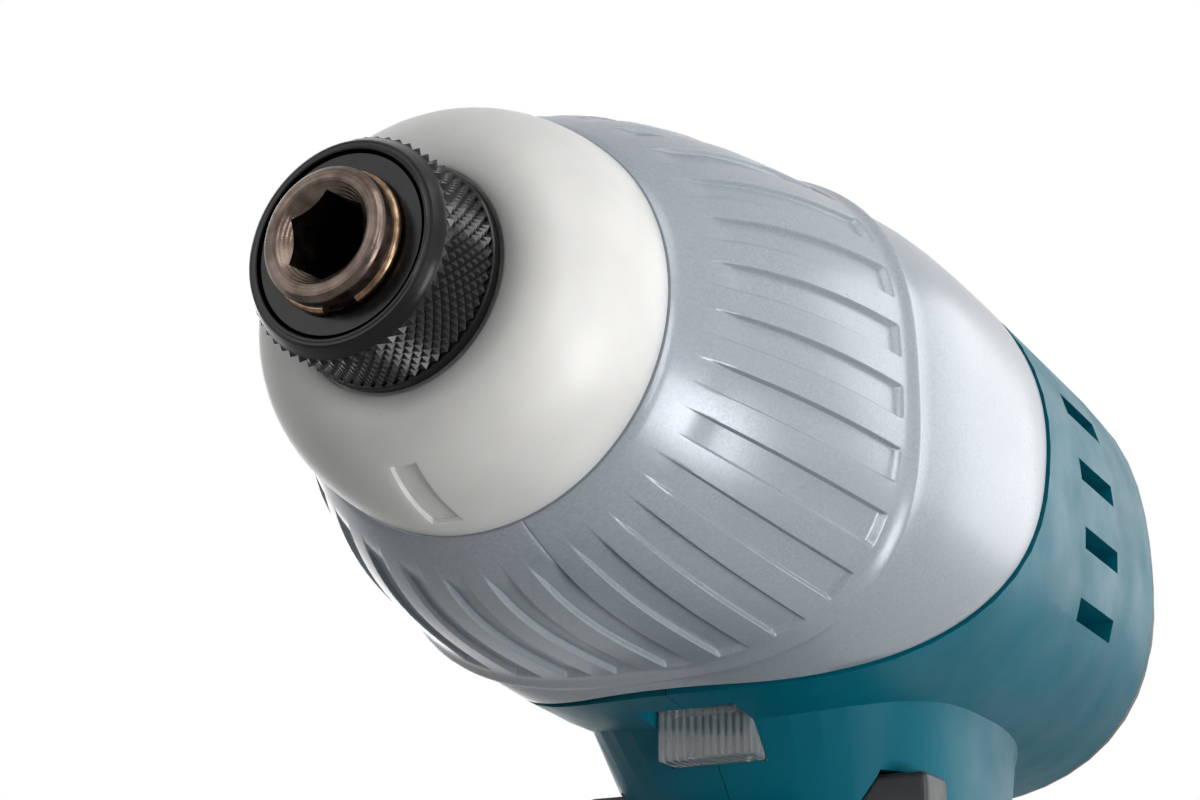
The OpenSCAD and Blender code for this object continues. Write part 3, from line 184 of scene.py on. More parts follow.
def moulded_plastic(name, colour, low, high, rough, grain=0.45, depth=0.03, **values):
    """ABS from a spark-eroded mould: an even satin skin with a fine grain."""
    made, tree, shader, where = material(name, colour, Roughness=rough, IOR=1.53, **values)
    mottle(tree, shader, where, low, high, 14.0)
    roughness_drift(tree, shader, where, rough - 0.06, rough + 0.08, 6.0)
    # The grain is about 0.1 mm on the real skin, drawn coarser so that it shows.
    skin = add(tree, "TexNoise", {"Vector": where}, Scale=per_mm(grain), Detail=3.0, Roughness=0.6)
    raise_bump(tree, shader, skin.outputs["Fac"], depth)
    return made


def machined_steel(name, colour, low, high, rough, spacing, depth):
    """Steel turned on a lathe: fine rings round the drive axis and a patchy oil film."""
    made, tree, shader, where = material(name, colour, Metallic=1.0, Roughness=rough)
    mottle(tree, shader, where, low, high, 2.2, 5.0)
    roughness_drift(tree, shader, where, rough - 0.08, rough + 0.12, 1.4)
    rings = wave(tree, from_axis(tree, where), spacing)
    cloud = add(tree, "TexNoise", {"Vector": where}, Scale=per_mm(0.5), Detail=4.0)
    both = add(tree, "Math", {0: rings, 1: cloud.outputs["Fac"]}, operation="ADD")
    raise_bump(tree, shader, both.outputs["Value"], depth)
    return made


def seen_ray(tree):
    """1 for rays from the eye, through glass or off a gloss: these see the white surround."""
    rays = add(tree, "LightPath")
    clear = add(tree, "Math", {0: rays.outputs["Is Camera Ray"], 1: rays.outputs["Is Transmission Ray"]},
                operation="MAXIMUM")
    seen = add(tree, "Math", {0: clear.outputs["Value"], 1: rays.outputs["Is Glossy Ray"]},
               operation="MAXIMUM")
    return seen.outputs["Value"]


def make_materials():
    """Every finish on the tool, by the record's material slot."""
    colours = bpy.context.scene.driver_colours
    finish = {}

    # Hardened anvil steel: dull brown-grey, turned rings on its end face, temper stains.
    finish["anvil_steel"] = machined_steel(
        "hardened_turned_steel", "#655850", "#51453E", "#7A6D65", 0.3, 0.24, 0.006)
    # Bronzed spring wire: warm, drawn smooth.
    finish["snap_wire"] = patchy(
        "bronzed_spring_wire", "#7D6552", "#66503E", "#967D66", 0.8, Metallic=1.0, Roughness=0.28)

    # Black oxide steel: near black, thin oil gloss, and the knurl's tips painted lighter: partly rubbed
    # bright metal, partly painted highlight.
    made, tree, shader, where = material("black_oxide_steel", "#121214", Roughness=0.22, IOR=1.5,
                                         Specular_IOR_Level=0.32)
    tips = add(tree, "MapRange", {"Value": from_axis(tree, where)}, From_Min=9.2 * MM, From_Max=9.44 * MM)
    wear_and_highlight_patches = add(tree, "TexNoise", {"Vector": where}, Scale=per_mm(1.6), Detail=5.0)
    # The flange behind the knurl, past 9.5 mm from the tip, stays black.
    along = add(tree, "SeparateXYZ", {"Vector": where})
    knurl = add(tree, "MapRange", {"Value": along.outputs["X"]}, From_Min=TIP.x - 9.5 * MM,
                From_Max=TIP.x - 9.2 * MM)
    # The knurl's tips get a painted highlight mixed with rubbed wear, broken into patches by the noise.
    rubbed_and_highlight = add(tree, "Math", {0: tips.outputs["Result"], 1: knurl.outputs["Result"]}, operation="MULTIPLY")
    wear_and_highlight = add(tree, "Math", {0: rubbed_and_highlight.outputs["Value"], 1: wear_and_highlight_patches.outputs["Fac"]}, operation="MULTIPLY")
    tone = add(tree, "Mix", {"Factor": wear_and_highlight.outputs["Value"]}, data_type="RGBA")
    tone.inputs["A"].default_value = linear("#080809")
    tone.inputs["B"].default_value = linear("#4A4845")
    tree.links.new(tone.outputs["Result"], shader.inputs["Base Color"])
    roughness_drift(tree, shader, where, 0.17, 0.28, 1.2)
    finish["black_oxide"] = made

    # Milky elastomer: light goes a few millimetres in, with fine dust specks in the skin.
    made, tree, shader, where = material(
        "milky_elastomer", colours.bumper, Roughness=0.42, IOR=1.5, Subsurface_Weight=0.6,
        Subsurface_Scale=4.0 * MM, Coat_Weight=0.1, Coat_Roughness=0.3)
    shader.inputs["Subsurface Radius"].default_value = (1.0, 0.9, 0.75)
    base = mottle(tree, shader, where, "#D3D2CF", "#DDDCD9", 9.0)
    dust = add(tree, "TexVoronoi", {"Vector": where}, Scale=per_mm(1.5))
    speck = add(tree, "MapRange", {"Value": dust.outputs["Distance"]}, From_Min=0.03, From_Max=0.075,
                To_Min=1.0, To_Max=0.0)
    rare = add(tree, "TexNoise", {"Vector": where}, Scale=per_mm(5.0), Detail=1.0)
    sparse = add(tree, "MapRange", {"Value": rare.outputs["Fac"]}, From_Min=0.5, From_Max=0.62, To_Max=0.5)
    amount = add(tree, "Math", {0: speck.outputs["Result"], 1: sparse.outputs["Result"]},
                 operation="MULTIPLY")
    dusty = add(tree, "Mix", {"Factor": amount.outputs["Value"], "A": base.outputs["Color"]},
                data_type="RGBA")
    dusty.inputs["B"].default_value = linear("#8C8579")
    tree.links.new(dusty.outputs["Result"], shader.inputs["Base Color"])
    skin = add(tree, "TexNoise", {"Vector": where}, Scale=per_mm(0.7), Detail=4.0)
    raise_bump(tree, shader, skin.outputs["Fac"], 0.012)
    finish["white_rubber"] = made

    # Pearl ABS: fine metal flakes under a glossy skin, each flake tilted its own way. Real flakes are under
    # 0.1 mm, drawn at 0.2 mm so that they show.
    made, tree, shader, where = material(
        "pearl_abs", colours.cover, Metallic=0.16, Roughness=0.3, IOR=1.5, Specular_IOR_Level=0.38,
        Coat_Weight=0.1, Coat_Roughness=0.14)
    flakes = add(tree, "TexVoronoi", {"Vector": where}, Scale=per_mm(0.2))
    grey = add(tree, "RGBToBW", {"Color": flakes.outputs["Color"]})
    ramp = add(tree, "ValToRGB", {"Fac": grey.outputs["Val"]})
    ramp.color_ramp.elements[0].color = linear("#8A9199")
    ramp.color_ramp.elements[1].color = linear("#A1A9B0")
    haze = add(tree, "TexNoise", {"Vector": where}, Scale=per_mm(7.0), Detail=3.0)
    mixed = add(tree, "Mix", {"Factor": haze.outputs["Fac"], "A": ramp.outputs["Color"]},
                data_type="RGBA")
    mixed.inputs["B"].default_value = linear(colours.cover)
    tree.links.new(mixed.outputs["Result"], shader.inputs["Base Color"])
    roughness_drift(tree, shader, where, 0.27, 0.33, 9.0)
    raise_bump(tree, shader, grey.outputs["Val"], 0.0004)
    finish["silver_plastic"] = made

    # Moulded plastics: satin body, dull glass-filled nylon, buttons, red acetal, natural nylon.
    finish["teal_plastic"] = moulded_plastic(
        "satin_abs_body", colours.body, "#005A6B", "#006274", 0.4, depth=0.012, Specular_IOR_Level=0.14)
    finish["black_plastic"] = moulded_plastic(
        "glass_filled_nylon", colours.dark, "#17191B", "#232629", 0.5, grain=0.6, depth=0.04)
    finish["button_grey"] = moulded_plastic("button_abs", "#5D6267", "#555A5F", "#686D72", 0.4)
    finish["latch_red"] = moulded_plastic("latch_acetal", "#A3241F", "#961F1B", "#B02C26", 0.35)
    finish["holder_white"] = moulded_plastic("natural_nylon", "#D6D5CF", "#CBCAC3", "#DEDDD8", 0.5)

    # Grip rubber: soft matt overmould, its skin grained like fine leather.
    made, tree, shader, where = material("grip_overmould", colours.grip, Roughness=0.72, IOR=1.5,
                                         Sheen_Weight=0.15, Sheen_Roughness=0.5)
    mottle(tree, shader, where, "#191B1D", "#26282B", 8.0)
    grain = add(tree, "TexVoronoi", {"Vector": where}, Scale=per_mm(0.9))
    dome = add(tree, "MapRange", {"Value": grain.outputs["Distance"]}, From_Min=0.15, From_Max=0.6,
               To_Min=1.0, To_Max=0.0)
    raise_bump(tree, shader, dome.outputs["Result"], 0.07)
    roughness_drift(tree, shader, where, 0.64, 0.82, 5.0)
    finish["grip_rubber"] = made

    # Gear and hammer steel, oiled; spring steel, drawn bright.
    finish["gear_steel"] = machined_steel(
        "oiled_gear_steel", "#77736C", "#655F57", "#8D8880", 0.34, 0.5, 0.008)
    finish["spring_steel"] = machined_steel(
        "drawn_spring_steel", "#A6A6A4", "#92918E", "#BBBBB9", 0.24, 0.6, 0.004)
    # Zinc plate on the belt hook: an even pale grey with a soft sheen and faint stains.
    made, tree, shader, where = material("zinc_plated_steel", "#A3A6A8", Metallic=1.0, Roughness=0.42)
    mottle(tree, shader, where, "#9A9DA0", "#AAADAF", 9.0)
    roughness_drift(tree, shader, where, 0.38, 0.47, 4.0)
    finish["hook_steel"] = made

    # Cast alloy: grainy, pale and matt.
    made, tree, shader, where = material("die_cast_alloy", "#A9AAAB", Metallic=1.0, Roughness=0.5)
    mottle(tree, shader, where, "#98999A", "#B8B9BA", 3.0)
    cast = add(tree, "TexNoise", {"Vector": where}, Scale=per_mm(0.6), Detail=5.0)
    raise_bump(tree, shader, cast.outputs["Fac"], 0.04)
    finish["cast_alloy"] = made
    # Sintered bronze: fine dark pores.
    finish["bush_bronze"] = patchy(
        "sintered_bronze", "#A98850", "#86693A", "#BE9D66", 0.5, 6.0, Metallic=1.0, Roughness=0.45)
    # Motor laminations: thin sheets stacked along the shaft, 0.5 mm each.
    made, tree, shader, where = material("laminated_iron", "#5F6266", Metallic=0.9, Roughness=0.45)
    mottle(tree, shader, where, "#53565A", "#6E7176", 2.5)
    split = add(tree, "SeparateXYZ", {"Vector": where})
    raise_bump(tree, shader, wave(tree, split.outputs["X"], 0.5), 0.05)
    finish["motor_iron"] = made
    # Enamelled copper: wire beside wire along the shaft, 0.7 mm each.
    made, tree, shader, where = material("enamelled_copper", "#A65A2C", Metallic=0.85, Roughness=0.28,
                                         Coat_Weight=0.4, Coat_Roughness=0.15)
    mottle(tree, shader, where, "#8E4721", "#BB6E3B", 1.2)
    split = add(tree, "SeparateXYZ", {"Vector": where})
    raise_bump(tree, shader, wave(tree, split.outputs["X"], 0.7), 0.18)
    finish["copper_wire"] = made
    # Circuit board: green lacquer over copper traces.
    made, tree, shader, where = material("lacquered_board", "#1B5C3C", Roughness=0.35, IOR=1.5)
    trace = add(tree, "TexBrick", {"Vector": where}, Scale=per_mm(6.0), Mortar_Size=0.04)
    trace.inputs["Color1"].default_value = linear("#17553A")
    trace.inputs["Color2"].default_value = linear("#1C6142")
    trace.inputs["Mortar"].default_value = linear("#2F7D52")
    tree.links.new(trace.outputs["Color"], shader.inputs["Base Color"])
    finish["circuit_board"] = made
    # Brass contacts, bright and rubbed.
    finish["contact_brass"] = patchy(
        "contact_brass", "#C9A14B", "#B38B39", "#D8B463", 1.5, Metallic=1.0, Roughness=0.25)
    # Lead insulation: soft glossy vinyl.
    finish["lead_red"] = patchy(
        "lead_vinyl", "#9E2B2B", "#8B2323", "#AC3434", 4.0, Roughness=0.4, IOR=1.53)
    # Cell wrap: glossy shrink film.
    finish["cell_wrap"] = patchy(
        "shrink_film", "#3F7696", "#386B8A", "#4782A3", 12.0, Roughness=0.25, IOR=1.5)
    # Clear polycarbonate lamp lens with a fine prismatic ribbing, 0.8 mm apart.
    made, tree, shader, where = material("clear_polycarbonate", "#F2F6F8", Roughness=0.12, IOR=1.58,
                                         Transmission_Weight=0.85)
    split = add(tree, "SeparateXYZ", {"Vector": where})
    raise_bump(tree, shader, wave(tree, split.outputs["Y"], 0.8), 0.08)
    finish["lamp_clear"] = made
    return finish


FINISH = {}


def dress(obj, slot):
    """Gives an object one finish."""
    obj.data.materials.clear()
    obj.data.materials.append(FINISH[slot])


def only(obj):
    """Makes one object the only selected and active one."""
    bpy.ops.object.select_all(action="DESELECT")
    obj.hide_set(False)
    obj.select_set(True)
    bpy.context.view_layer.objects.active = obj


def settled():
    """The active object, its place and turn taken into its mesh."""
    bpy.ops.object.transform_apply(location=True, rotation=True, scale=True)
    return bpy.context.object


def picking(obj, kind):
    """Sets edit mode to pick vertices, edges or faces, with nothing picked yet."""
    only(obj)
    bpy.ops.object.mode_set(mode="EDIT")
    bpy.ops.mesh.select_mode(type=kind)
    bpy.ops.mesh.select_all(action="DESELECT")
    bpy.ops.object.mode_set(mode="OBJECT")


def leave_edit():
    """Leaves edit mode, set to pick vertices again."""
    bpy.ops.mesh.select_mode(type="VERT")
    bpy.ops.object.mode_set(mode="OBJECT")


def pick_back(obj):
    """Enters edit mode with the faces picked that look back."""
    picking(obj, "FACE")
    for f in obj.data.polygons:
        f.select = f.normal.x < -0.9
    bpy.ops.object.mode_set(mode="EDIT")


def joined(objects):
    """Joins objects into one."""
    only(objects[0])
    for obj in objects:
        obj.select_set(True)
    bpy.ops.object.join()
    return bpy.context.object


def place(obj, node):
    """A finished piece stands for its CAD node and rides on that node's body."""
    dress(obj, SLOT_OF[node])
    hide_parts(node)
    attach(obj, BODY_OF[node])


def smooth(obj, angle):
    """Shades smooth over edges flatter than that angle in degrees."""
    only(obj)
    bpy.ops.object.shade_smooth_by_angle(angle=math.radians(angle))


def merged(node, name):
    """A copy of a node's form with its loose triangles merged into whole faces."""
    if node not in NODES:
        raise RuntimeError("no node " + node)
    obj = bpy.data.objects.new(name, NODES[node].data.copy())
    bpy.context.scene.collection.objects.link(obj)
    only(obj)
    bpy.ops.object.mode_set(mode="EDIT")
    bpy.ops.mesh.select_all(action="SELECT")
    bpy.ops.mesh.remove_doubles(threshold=0.002 * MM)
    bpy.ops.mesh.customdata_custom_splitnormals_clear()
    bpy.ops.mesh.dissolve_limited(angle_limit=math.radians(0.5))
    bpy.ops.object.mode_set(mode="OBJECT")
    return obj


def carve(obj, cutter):
    """Cuts one form out of another and takes the cutter away."""
    only(obj)
    cut = obj.modifiers.new("cut", "BOOLEAN")
    cut.object = cutter
    cut.solver = "EXACT"
    bpy.ops.object.modifier_apply(modifier="cut")
    bpy.data.objects.remove(cutter)


def round_outline(obj, node, level, corner, radius):
    """Rounds the outer edge of a case, which has round corners, at one height."""
    low, high = (Vector(c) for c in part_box(node))
    middle, half = (low + high) / 2, (high - low) / 2

    def outside(co):
        dx = abs(co.x - middle.x) - half.x + corner
        dy = abs(co.y - middle.y) - half.y + corner
        reach = math.hypot(dx, dy) if dx > 0 and dy > 0 else max(dx, dy)
        return abs(co.z - level) < 0.02 * MM and reach > corner - 0.05 * MM

    picking(obj, "EDGE")
    for e in obj.data.edges:
        e.select = all(outside(obj.data.vertices[i].co) for i in e.vertices)
    bpy.ops.object.mode_set(mode="EDIT")
    bpy.ops.mesh.bevel(offset=radius, segments=5, affect="EDGES", clamp_overlap=True)
    leave_edit()


def softened(node, width, angle=32.0, segments=2, shape=None):
    """A moulded piece: its CAD form with merged faces, what shape does to it, and rounded edges."""
    obj = merged(node, node + "_moulded")
    if shape:
        shape(obj)
        only(obj)
    bevel = obj.modifiers.new("edge", "BEVEL")
    bevel.width = width
    bevel.segments = segments
    bevel.limit_method = "ANGLE"
    bevel.angle_limit = math.radians(angle)
    bpy.ops.object.modifier_apply(modifier="edge")
    smooth(obj, 28.0)
    # Broad faces are shaded evenly beside the small faces of their rounded edges.
    shade = obj.modifiers.new("shade", "WEIGHTED_NORMAL")
    shade.keep_sharp = True
    bpy.ops.object.modifier_apply(modifier="shade")
    place(obj, node)
    return obj


def lathe(name, profile, segments):
    """A ring turned about the drive axis, from closed (station, radius) steps in millimetres."""
    station, radius = profile[0]
    bpy.ops.mesh.primitive_circle_add(
        vertices=segments, radius=radius * MM, location=(TIP.x - station * MM, 0.0, AXIS),
        rotation=(0.0, math.pi / 2, 0.0))
    obj = settled()
    obj.name = name
    bpy.ops.object.mode_set(mode="EDIT")
    bpy.ops.mesh.select_all(action="SELECT")
    for step, reach in profile[1:] + profile[:1]:
        bpy.ops.mesh.extrude_region_move(
            TRANSFORM_OT_translate={"value": ((station - step) * MM, 0.0, 0.0)})
        if abs(reach - radius) > 1e-9:
            bpy.ops.transform.resize(value=(1.0, reach / radius, reach / radius),
                                     center_override=(TIP.x - step * MM, 0.0, AXIS))
        station, radius = step, reach
    bpy.ops.mesh.select_all(action="SELECT")
    bpy.ops.mesh.remove_doubles(threshold=0.004 * MM)
    bpy.ops.mesh.normals_make_consistent(inside=False)
    bpy.ops.object.mode_set(mode="OBJECT")
    return obj


def station_of(co):
    """Millimetres behind the tip."""
    return (TIP.x - co.x) / MM


def reach_of(co):
    """Millimetres from the drive axis."""
    return math.hypot(co.y, co.z - AXIS) / MM


class DRIVER_OT_anvil(bpy.types.Operator):
    """Rounds the anvil's end-face rim and the edge where its chamfer meets the shank"""
    bl_idname = "driver.anvil"
    bl_label = "Anvil"

    def execute(self, context):
        obj = merged("anvil", "turned_anvil")
        mesh = obj.data
        # The end face's outer ring, and the circle where its chamfer meets the shank.
        face_ring, chamfer, shank = 4.2, 0.45, 5.5
        rim = set()
        for v in mesh.vertices:
            s, away = station_of(v.co), reach_of(v.co)
            if (s < 0.01 and away > face_ring) or (abs(s - chamfer) < 0.02 and abs(away - shank) < 0.03):
                rim.add(v.index)
        picking(obj, "EDGE")
        for e in mesh.edges:
            a, b = (mesh.vertices[i] for i in e.vertices)
            level = abs(a.co.x - b.co.x) < 0.01 * MM
            apart = abs(reach_of(a.co) - reach_of(b.co))
            e.select = a.index in rim and b.index in rim and level and apart < 0.03
        bpy.ops.object.mode_set(mode="EDIT")
        bpy.ops.mesh.bevel(offset=0.2 * MM, segments=4, affect="EDGES", clamp_overlap=True)
        leave_edit()
        smooth(obj, 30.0)
        place(obj, "anvil")
        return {"FINISHED"}


class DRIVER_OT_bit_sleeve(bpy.types.Operator):
    """Turns the bit sleeve and cuts its diamond knurl"""
    bl_idname = "driver.bit_sleeve"
    bl_label = "Bit sleeve"

    def execute(self, context):
        teeth, rows, first, last, crest = 54, 10, 3.45, 9.3, 9.42
        pitch = (last - first) / rows
        valley = crest - context.scene.driver_sizes.knurl_depth / MM
        # The front chamfer cuts the first teeth down, so the knurl fades in.
        chamfer_top, chamfer_slope = 9.03, 0.57
        tops = [min(crest, chamfer_top + chamfer_slope * pitch * i) for i in range(rows + 1)]
        # Front lip, knurl, groove and flange, then back along the bore.
        profile = [(2.42, 7.66), (2.36, 7.75), (2.38, 7.92), (2.46, 7.98), (2.46, 8.2), (2.42, 8.26),
                   (2.5, 8.42), (2.8, 8.62), (3.1, 8.8), (3.3, 8.9)]
        profile += [(first + pitch * i, top) for i, top in enumerate(tops)]
        profile += [(9.38, 9.0), (9.55, 9.0), (9.65, 9.3), (9.75, 9.42), (10.5, 9.45), (10.6, 9.3),
                    (10.6, 6.2), (10.3, 5.75), (9.9, 5.62), (7.8, 5.62), (7.75, 7.6), (2.9, 7.62)]
        obj = lathe("knurled_bit_sleeve", profile, segments=2 * teeth)
        mesh = obj.data
        picking(obj, "VERT")
        for row, top in enumerate(tops):
            for v in mesh.vertices:
                level = abs(station_of(v.co) - first - pitch * row) < 0.02 and reach_of(v.co) > top - 0.04
                column = math.atan2(v.co.y, v.co.z - AXIS) / math.pi * teeth
                v.select = level and (row + round(column)) % 2 == 0
            bpy.ops.object.mode_set(mode="EDIT")
            bpy.ops.transform.resize(value=(1.0, valley / top, valley / top),
                                     center_override=(0.0, 0.0, AXIS))
            bpy.ops.mesh.select_all(action="DESELECT")
            bpy.ops.object.mode_set(mode="OBJECT")
        for v in mesh.vertices:
            row = (station_of(v.co) - first) / pitch
            column = math.atan2(v.co.y, v.co.z - AXIS) / math.pi * teeth
            low = abs(reach_of(v.co) - valley) < 0.01
            v.select = low and abs(row - round(row)) < 0.05 and (round(row) + round(column)) % 2 == 0
        bpy.ops.object.mode_set(mode="EDIT")
        bpy.ops.mesh.vert_connect()
        bpy.ops.object.mode_set(mode="OBJECT")
        smooth(obj, 16.0)
        place(obj, "bit_sleeve")
        return {"FINISHED"}


class DRIVER_OT_nose_bumper(bpy.types.Operator):
    """Turns the soft nose bumper and presses the gate mark into its underside"""
    bl_idname = "driver.nose_bumper"
    bl_label = "Nose bumper"

    def execute(self, context):
        front, end, face, rim, steps = 10.5, 22.3, 11.0, 18.0, 24
        dome = []
        for i in range(steps):
            a = math.radians(90 * i / steps)
            dome.append((end - (end - front) * math.cos(a), face + (rim - face) * math.sin(a)))
        # The recess round the sleeve, the dome, its rim and the bore.
        profile = [(11.22, 8.42), (11.2, 9.65), (front + 0.12, 9.7), (front + 0.02, 9.9)] + dome
        profile += [(end - 0.12, rim), (end, rim - 0.1), (end, 10.72), (12.3, 10.72), (12.3, 8.42)]
        obj = lathe("soft_nose_bumper", profile, segments=192)
        # The gate mark's stations in millimetres, and its turn from straight down in degrees.
        mark_front, mark_end, mark_right, mark_left = 12.6, 18.9, -6.0, 3.5
        picking(obj, "FACE")
        for f in obj.data.polygons:
            turn = math.degrees(math.atan2(f.center.y, -(f.center.z - AXIS)))
            f.select = (mark_front < station_of(f.center) < mark_end and mark_right < turn < mark_left
                        and f.normal.z < -0.2)
        bpy.ops.object.mode_set(mode="EDIT")
        bpy.ops.mesh.inset(thickness=0.08 * MM, depth=-0.4 * MM)
        leave_edit()
        smooth(obj, 30.0)
        place(obj, "nose_bumper")
        return {"FINISHED"}


def mix(a, b, t):
    """The value that lies a share t of the way from a to b."""
    return a + (b - a) * t


def unit(t):
    """Holds a share between 0 and 1."""
    return max(0.0, min(1.0, t))


def ease(t):
    """A share that starts and stops gently."""
    t = unit(t)
    return t * t * (3 - 2 * t)


def grow(t, share, power):
    """A share that rises fast and levels off, with a straight part."""
    return share * t + (1 - share) * (1 - (1 - t) ** power)


# Stations of the head in millimetres: the cover's front edge, its bead, the collar, and the run to full size.
FRONT, RIDGE, COLLAR, RUN = 22.4, 52.0, 53.0, 47.0
# Half width, top and bottom there.
FRONT_HALF, RIDGE_HALF = (18.3, 18.3, 18.3), (27.5, 23.5, 24.2)
COLLAR_HALF, BODY_HALF = (27.1, 23.1, 23.8), (29.5, 27.0, 27.0)
# How these swell towards the bead: the straight share, and the power of the rest.
SWELL = ((0.35, 2.8), (0.0, 4.1), (0.15, 4.2))
# The seam to the housing sweeps from the head's top to its underside.
SEAM_TOP, SEAM_LOW, SEAM_SWEEP = 88.0, 56.5, 3.3


def head_section(s):
    """Half width, top, bottom and corner power of the head at a station."""
    if s <= RIDGE:
        t = unit((s - FRONT) / (RIDGE - FRONT))
        swell = [grow(t, share, power) for share, power in SWELL]
        return [mix(a, b, g) for a, b, g in zip(FRONT_HALF, RIDGE_HALF, swell)] + [2 + 0.8 * t ** 1.6]
    g = grow(unit((s - COLLAR) / RUN), 0.0, 5)
    return [mix(a, b, g) for a, b in zip(COLLAR_HALF, BODY_HALF)] + [2 + 0.8 * (1 - g / 3)]


def head_reach(turn, s, inset=0.0):
    """Distance of the head's skin from the drive axis, at a turn from the left side."""
    w, top, bottom, n = head_section(s)
    h = (top if math.sin(turn) > 0 else bottom) - inset
    return (abs(math.cos(turn) / (w - inset)) ** n + abs(math.sin(turn) / h) ** n) ** (-1 / n)


def seam_station(turn):
    """Station of the seam between cover and housing."""
    half = BODY_HALF[1]
    z = head_reach(turn, COLLAR + RUN) * math.sin(turn)
    return mix(SEAM_TOP, SEAM_LOW, ((half - z) / (2 * half)) ** SEAM_SWEEP)


class DRIVER_OT_nose_cover(bpy.types.Operator):
    """Forms the fluted nose cover from a sheet wrapped round the head"""
    bl_idname = "driver.nose_cover"
    bl_label = "Nose cover"

    def execute(self, context):
        depth = context.scene.driver_sizes.flute_depth / MM
        flutes, wall, seam_gap = 30, 2.2, 0.3
        # A flute's sides within its pitch and their width, then its run-in and its end wall along the head.
        side_a, side_b, side = 0.229, 0.771, 0.042
        flute_start, run_in, flute_end, end_wall = 25.2, 4.2, 49.75, 0.75
        # The mould's parting line near the underside: depth, turn and width in degrees, end and fade.
        line_depth, line_turn, line_width, line_end, line_fade = 0.12, 285.0, 0.3, 31.0, 4.0
        # Drop and run of the softened front edge, and of the rear edge as a share of the collar.
        lip_drop, lip_run, rear_drop, rear_run = 0.15, 0.25, 0.25, 0.07
        # Height, station and width of the bead and of the hollow behind it.
        waves = ((0.55, RIDGE, 1.15), (-0.3, 55.0, 1.5))
        # Columns stand close where a flute's sides fall, and rows where its ends and the bead do.
        cuts = [0.0, 0.1, 0.19, 0.225, 0.238, 0.25, 0.262, 0.275, 0.31, 0.4, 0.5, 0.6, 0.69, 0.725, 0.738,
                0.75, 0.762, 0.775, 0.81, 0.9]
        columns = [(k + c) * 2 * math.pi / flutes for k in range(flutes) for c in cuts]
        columns.append(columns[0] + 2 * math.pi)
        front = [22.4, 22.48, 22.7, 23.2, 24.0, 25.0, 25.8, 26.4, 27.0, 27.6, 28.3, 29.2, 30.4, 32.0, 34.0,
                 36.0, 38.0, 40.0, 42.0, 44.0, 46.0, 47.5, 48.6, 48.95, 49.05, 49.18, 49.3, 49.4, 49.5, 49.6,
                 49.7, 49.8, 50.0, 50.3, 50.6, 50.9, 51.2, 51.5, 51.75, 52.0, 52.2, 52.4, 52.6, 52.8, 53.0]
        rear = [0.04, 0.1, 0.2, 0.32, 0.46, 0.62, 0.8, 0.93, 0.985, 1.0]
        rows = [("out", s) for s in front] + [("collar", f) for f in rear]
        rows += [("lining", f) for f in (1.0, 0.6, 0.0)]
        rows += [("in", s) for s in (48.0, 40.0, 32.0, 26.0, 22.4)]
        rows.append(rows[0])

        def point(turn, row):
            kind, value = row
            outer = kind in ("out", "collar")
            s = value if kind in ("out", "in") else mix(COLLAR, seam_station(turn) - seam_gap, value)
            reach = head_reach(turn, s, 0.0 if outer else wall)
            if kind == "out":
                if s > RIDGE:
                    fall = ease((s - RIDGE) / (COLLAR - RIDGE))
                    reach = mix(head_reach(turn, RIDGE), head_reach(turn, COLLAR), fall)
                in_pitch = (turn / (2 * math.pi) * flutes) % 1.0
                across = ease((in_pitch - side_a) / side) * ease((side_b - in_pitch) / side)
                along = ease((s - flute_start) / run_in) * ease((flute_end - s) / end_wall)
                reach -= depth * across * along
                off = (math.degrees(turn) % 360.0 - line_turn) / line_width
                reach -= line_depth * math.exp(-off ** 2) * ease((line_end - s) / line_fade)
                reach -= lip_drop * ease((FRONT + lip_run - s) / lip_run)
            if outer:
                reach += sum(rise * math.exp(-((s - at) / width) ** 2) for rise, at, width in waves)
            if kind == "collar":
                reach -= rear_drop * ease((value - 1.0 + rear_run) / rear_run)
            return Vector((TIP.x - s * MM, reach * math.cos(turn) * MM, AXIS + reach * math.sin(turn) * MM))

        bpy.ops.mesh.primitive_grid_add(
            x_subdivisions=len(columns) - 1, y_subdivisions=len(rows) - 1, size=1.0)
        obj = context.object
        obj.name = "fluted_nose_cover"
        for v in obj.data.vertices:
            i = round((v.co.x + 0.5) * (len(columns) - 1))
            j = round((v.co.y + 0.5) * (len(rows) - 1))
            v.co = point(columns[i], rows[j])
        bpy.ops.object.mode_set(mode="EDIT")
        bpy.ops.mesh.select_all(action="SELECT")
        bpy.ops.mesh.remove_doubles(threshold=0.004 * MM)
        bpy.ops.mesh.normals_make_consistent(inside=False)
        bpy.ops.object.mode_set(mode="OBJECT")
        smooth(obj, 32.0)
        place(obj, "nose_cover")
        return {"FINISHED"}


def groove(obj, levels, width, depth):
    """Presses level grooves into the outside of a piece, at those heights."""
    only(obj)
    bpy.ops.object.mode_set(mode="EDIT")
    # Cuts at both edges of the groove and of its floor.
    for z in levels:
        for step in (-0.5, -0.25, 0.25, 0.5):
            bpy.ops.mesh.select_all(action="SELECT")
            bpy.ops.mesh.bisect(plane_co=(0.0, 0.0, z + step * width), plane_no=(0.0, 0.0, 1.0))
    bpy.ops.mesh.select_all(action="DESELECT")
    bpy.ops.object.mode_set(mode="OBJECT")
    middle = {z: (min(c), max(c)) for z in levels
              for c in [[v.co.x for v in obj.data.vertices if abs(v.co.z - z) < width]]}
    for v in obj.data.vertices:
        for z in levels:
            if abs(v.co.z - z) < 0.3 * width:
                away = Vector((v.co.x - sum(middle[z]) / 2, v.co.y, 0.0))
                v.select = v.normal.dot(away.normalized()) > 0.3
    bpy.ops.object.mode_set(mode="EDIT")
    bpy.ops.transform.shrink_fatten(value=-depth)
    bpy.ops.object.mode_set(mode="OBJECT")


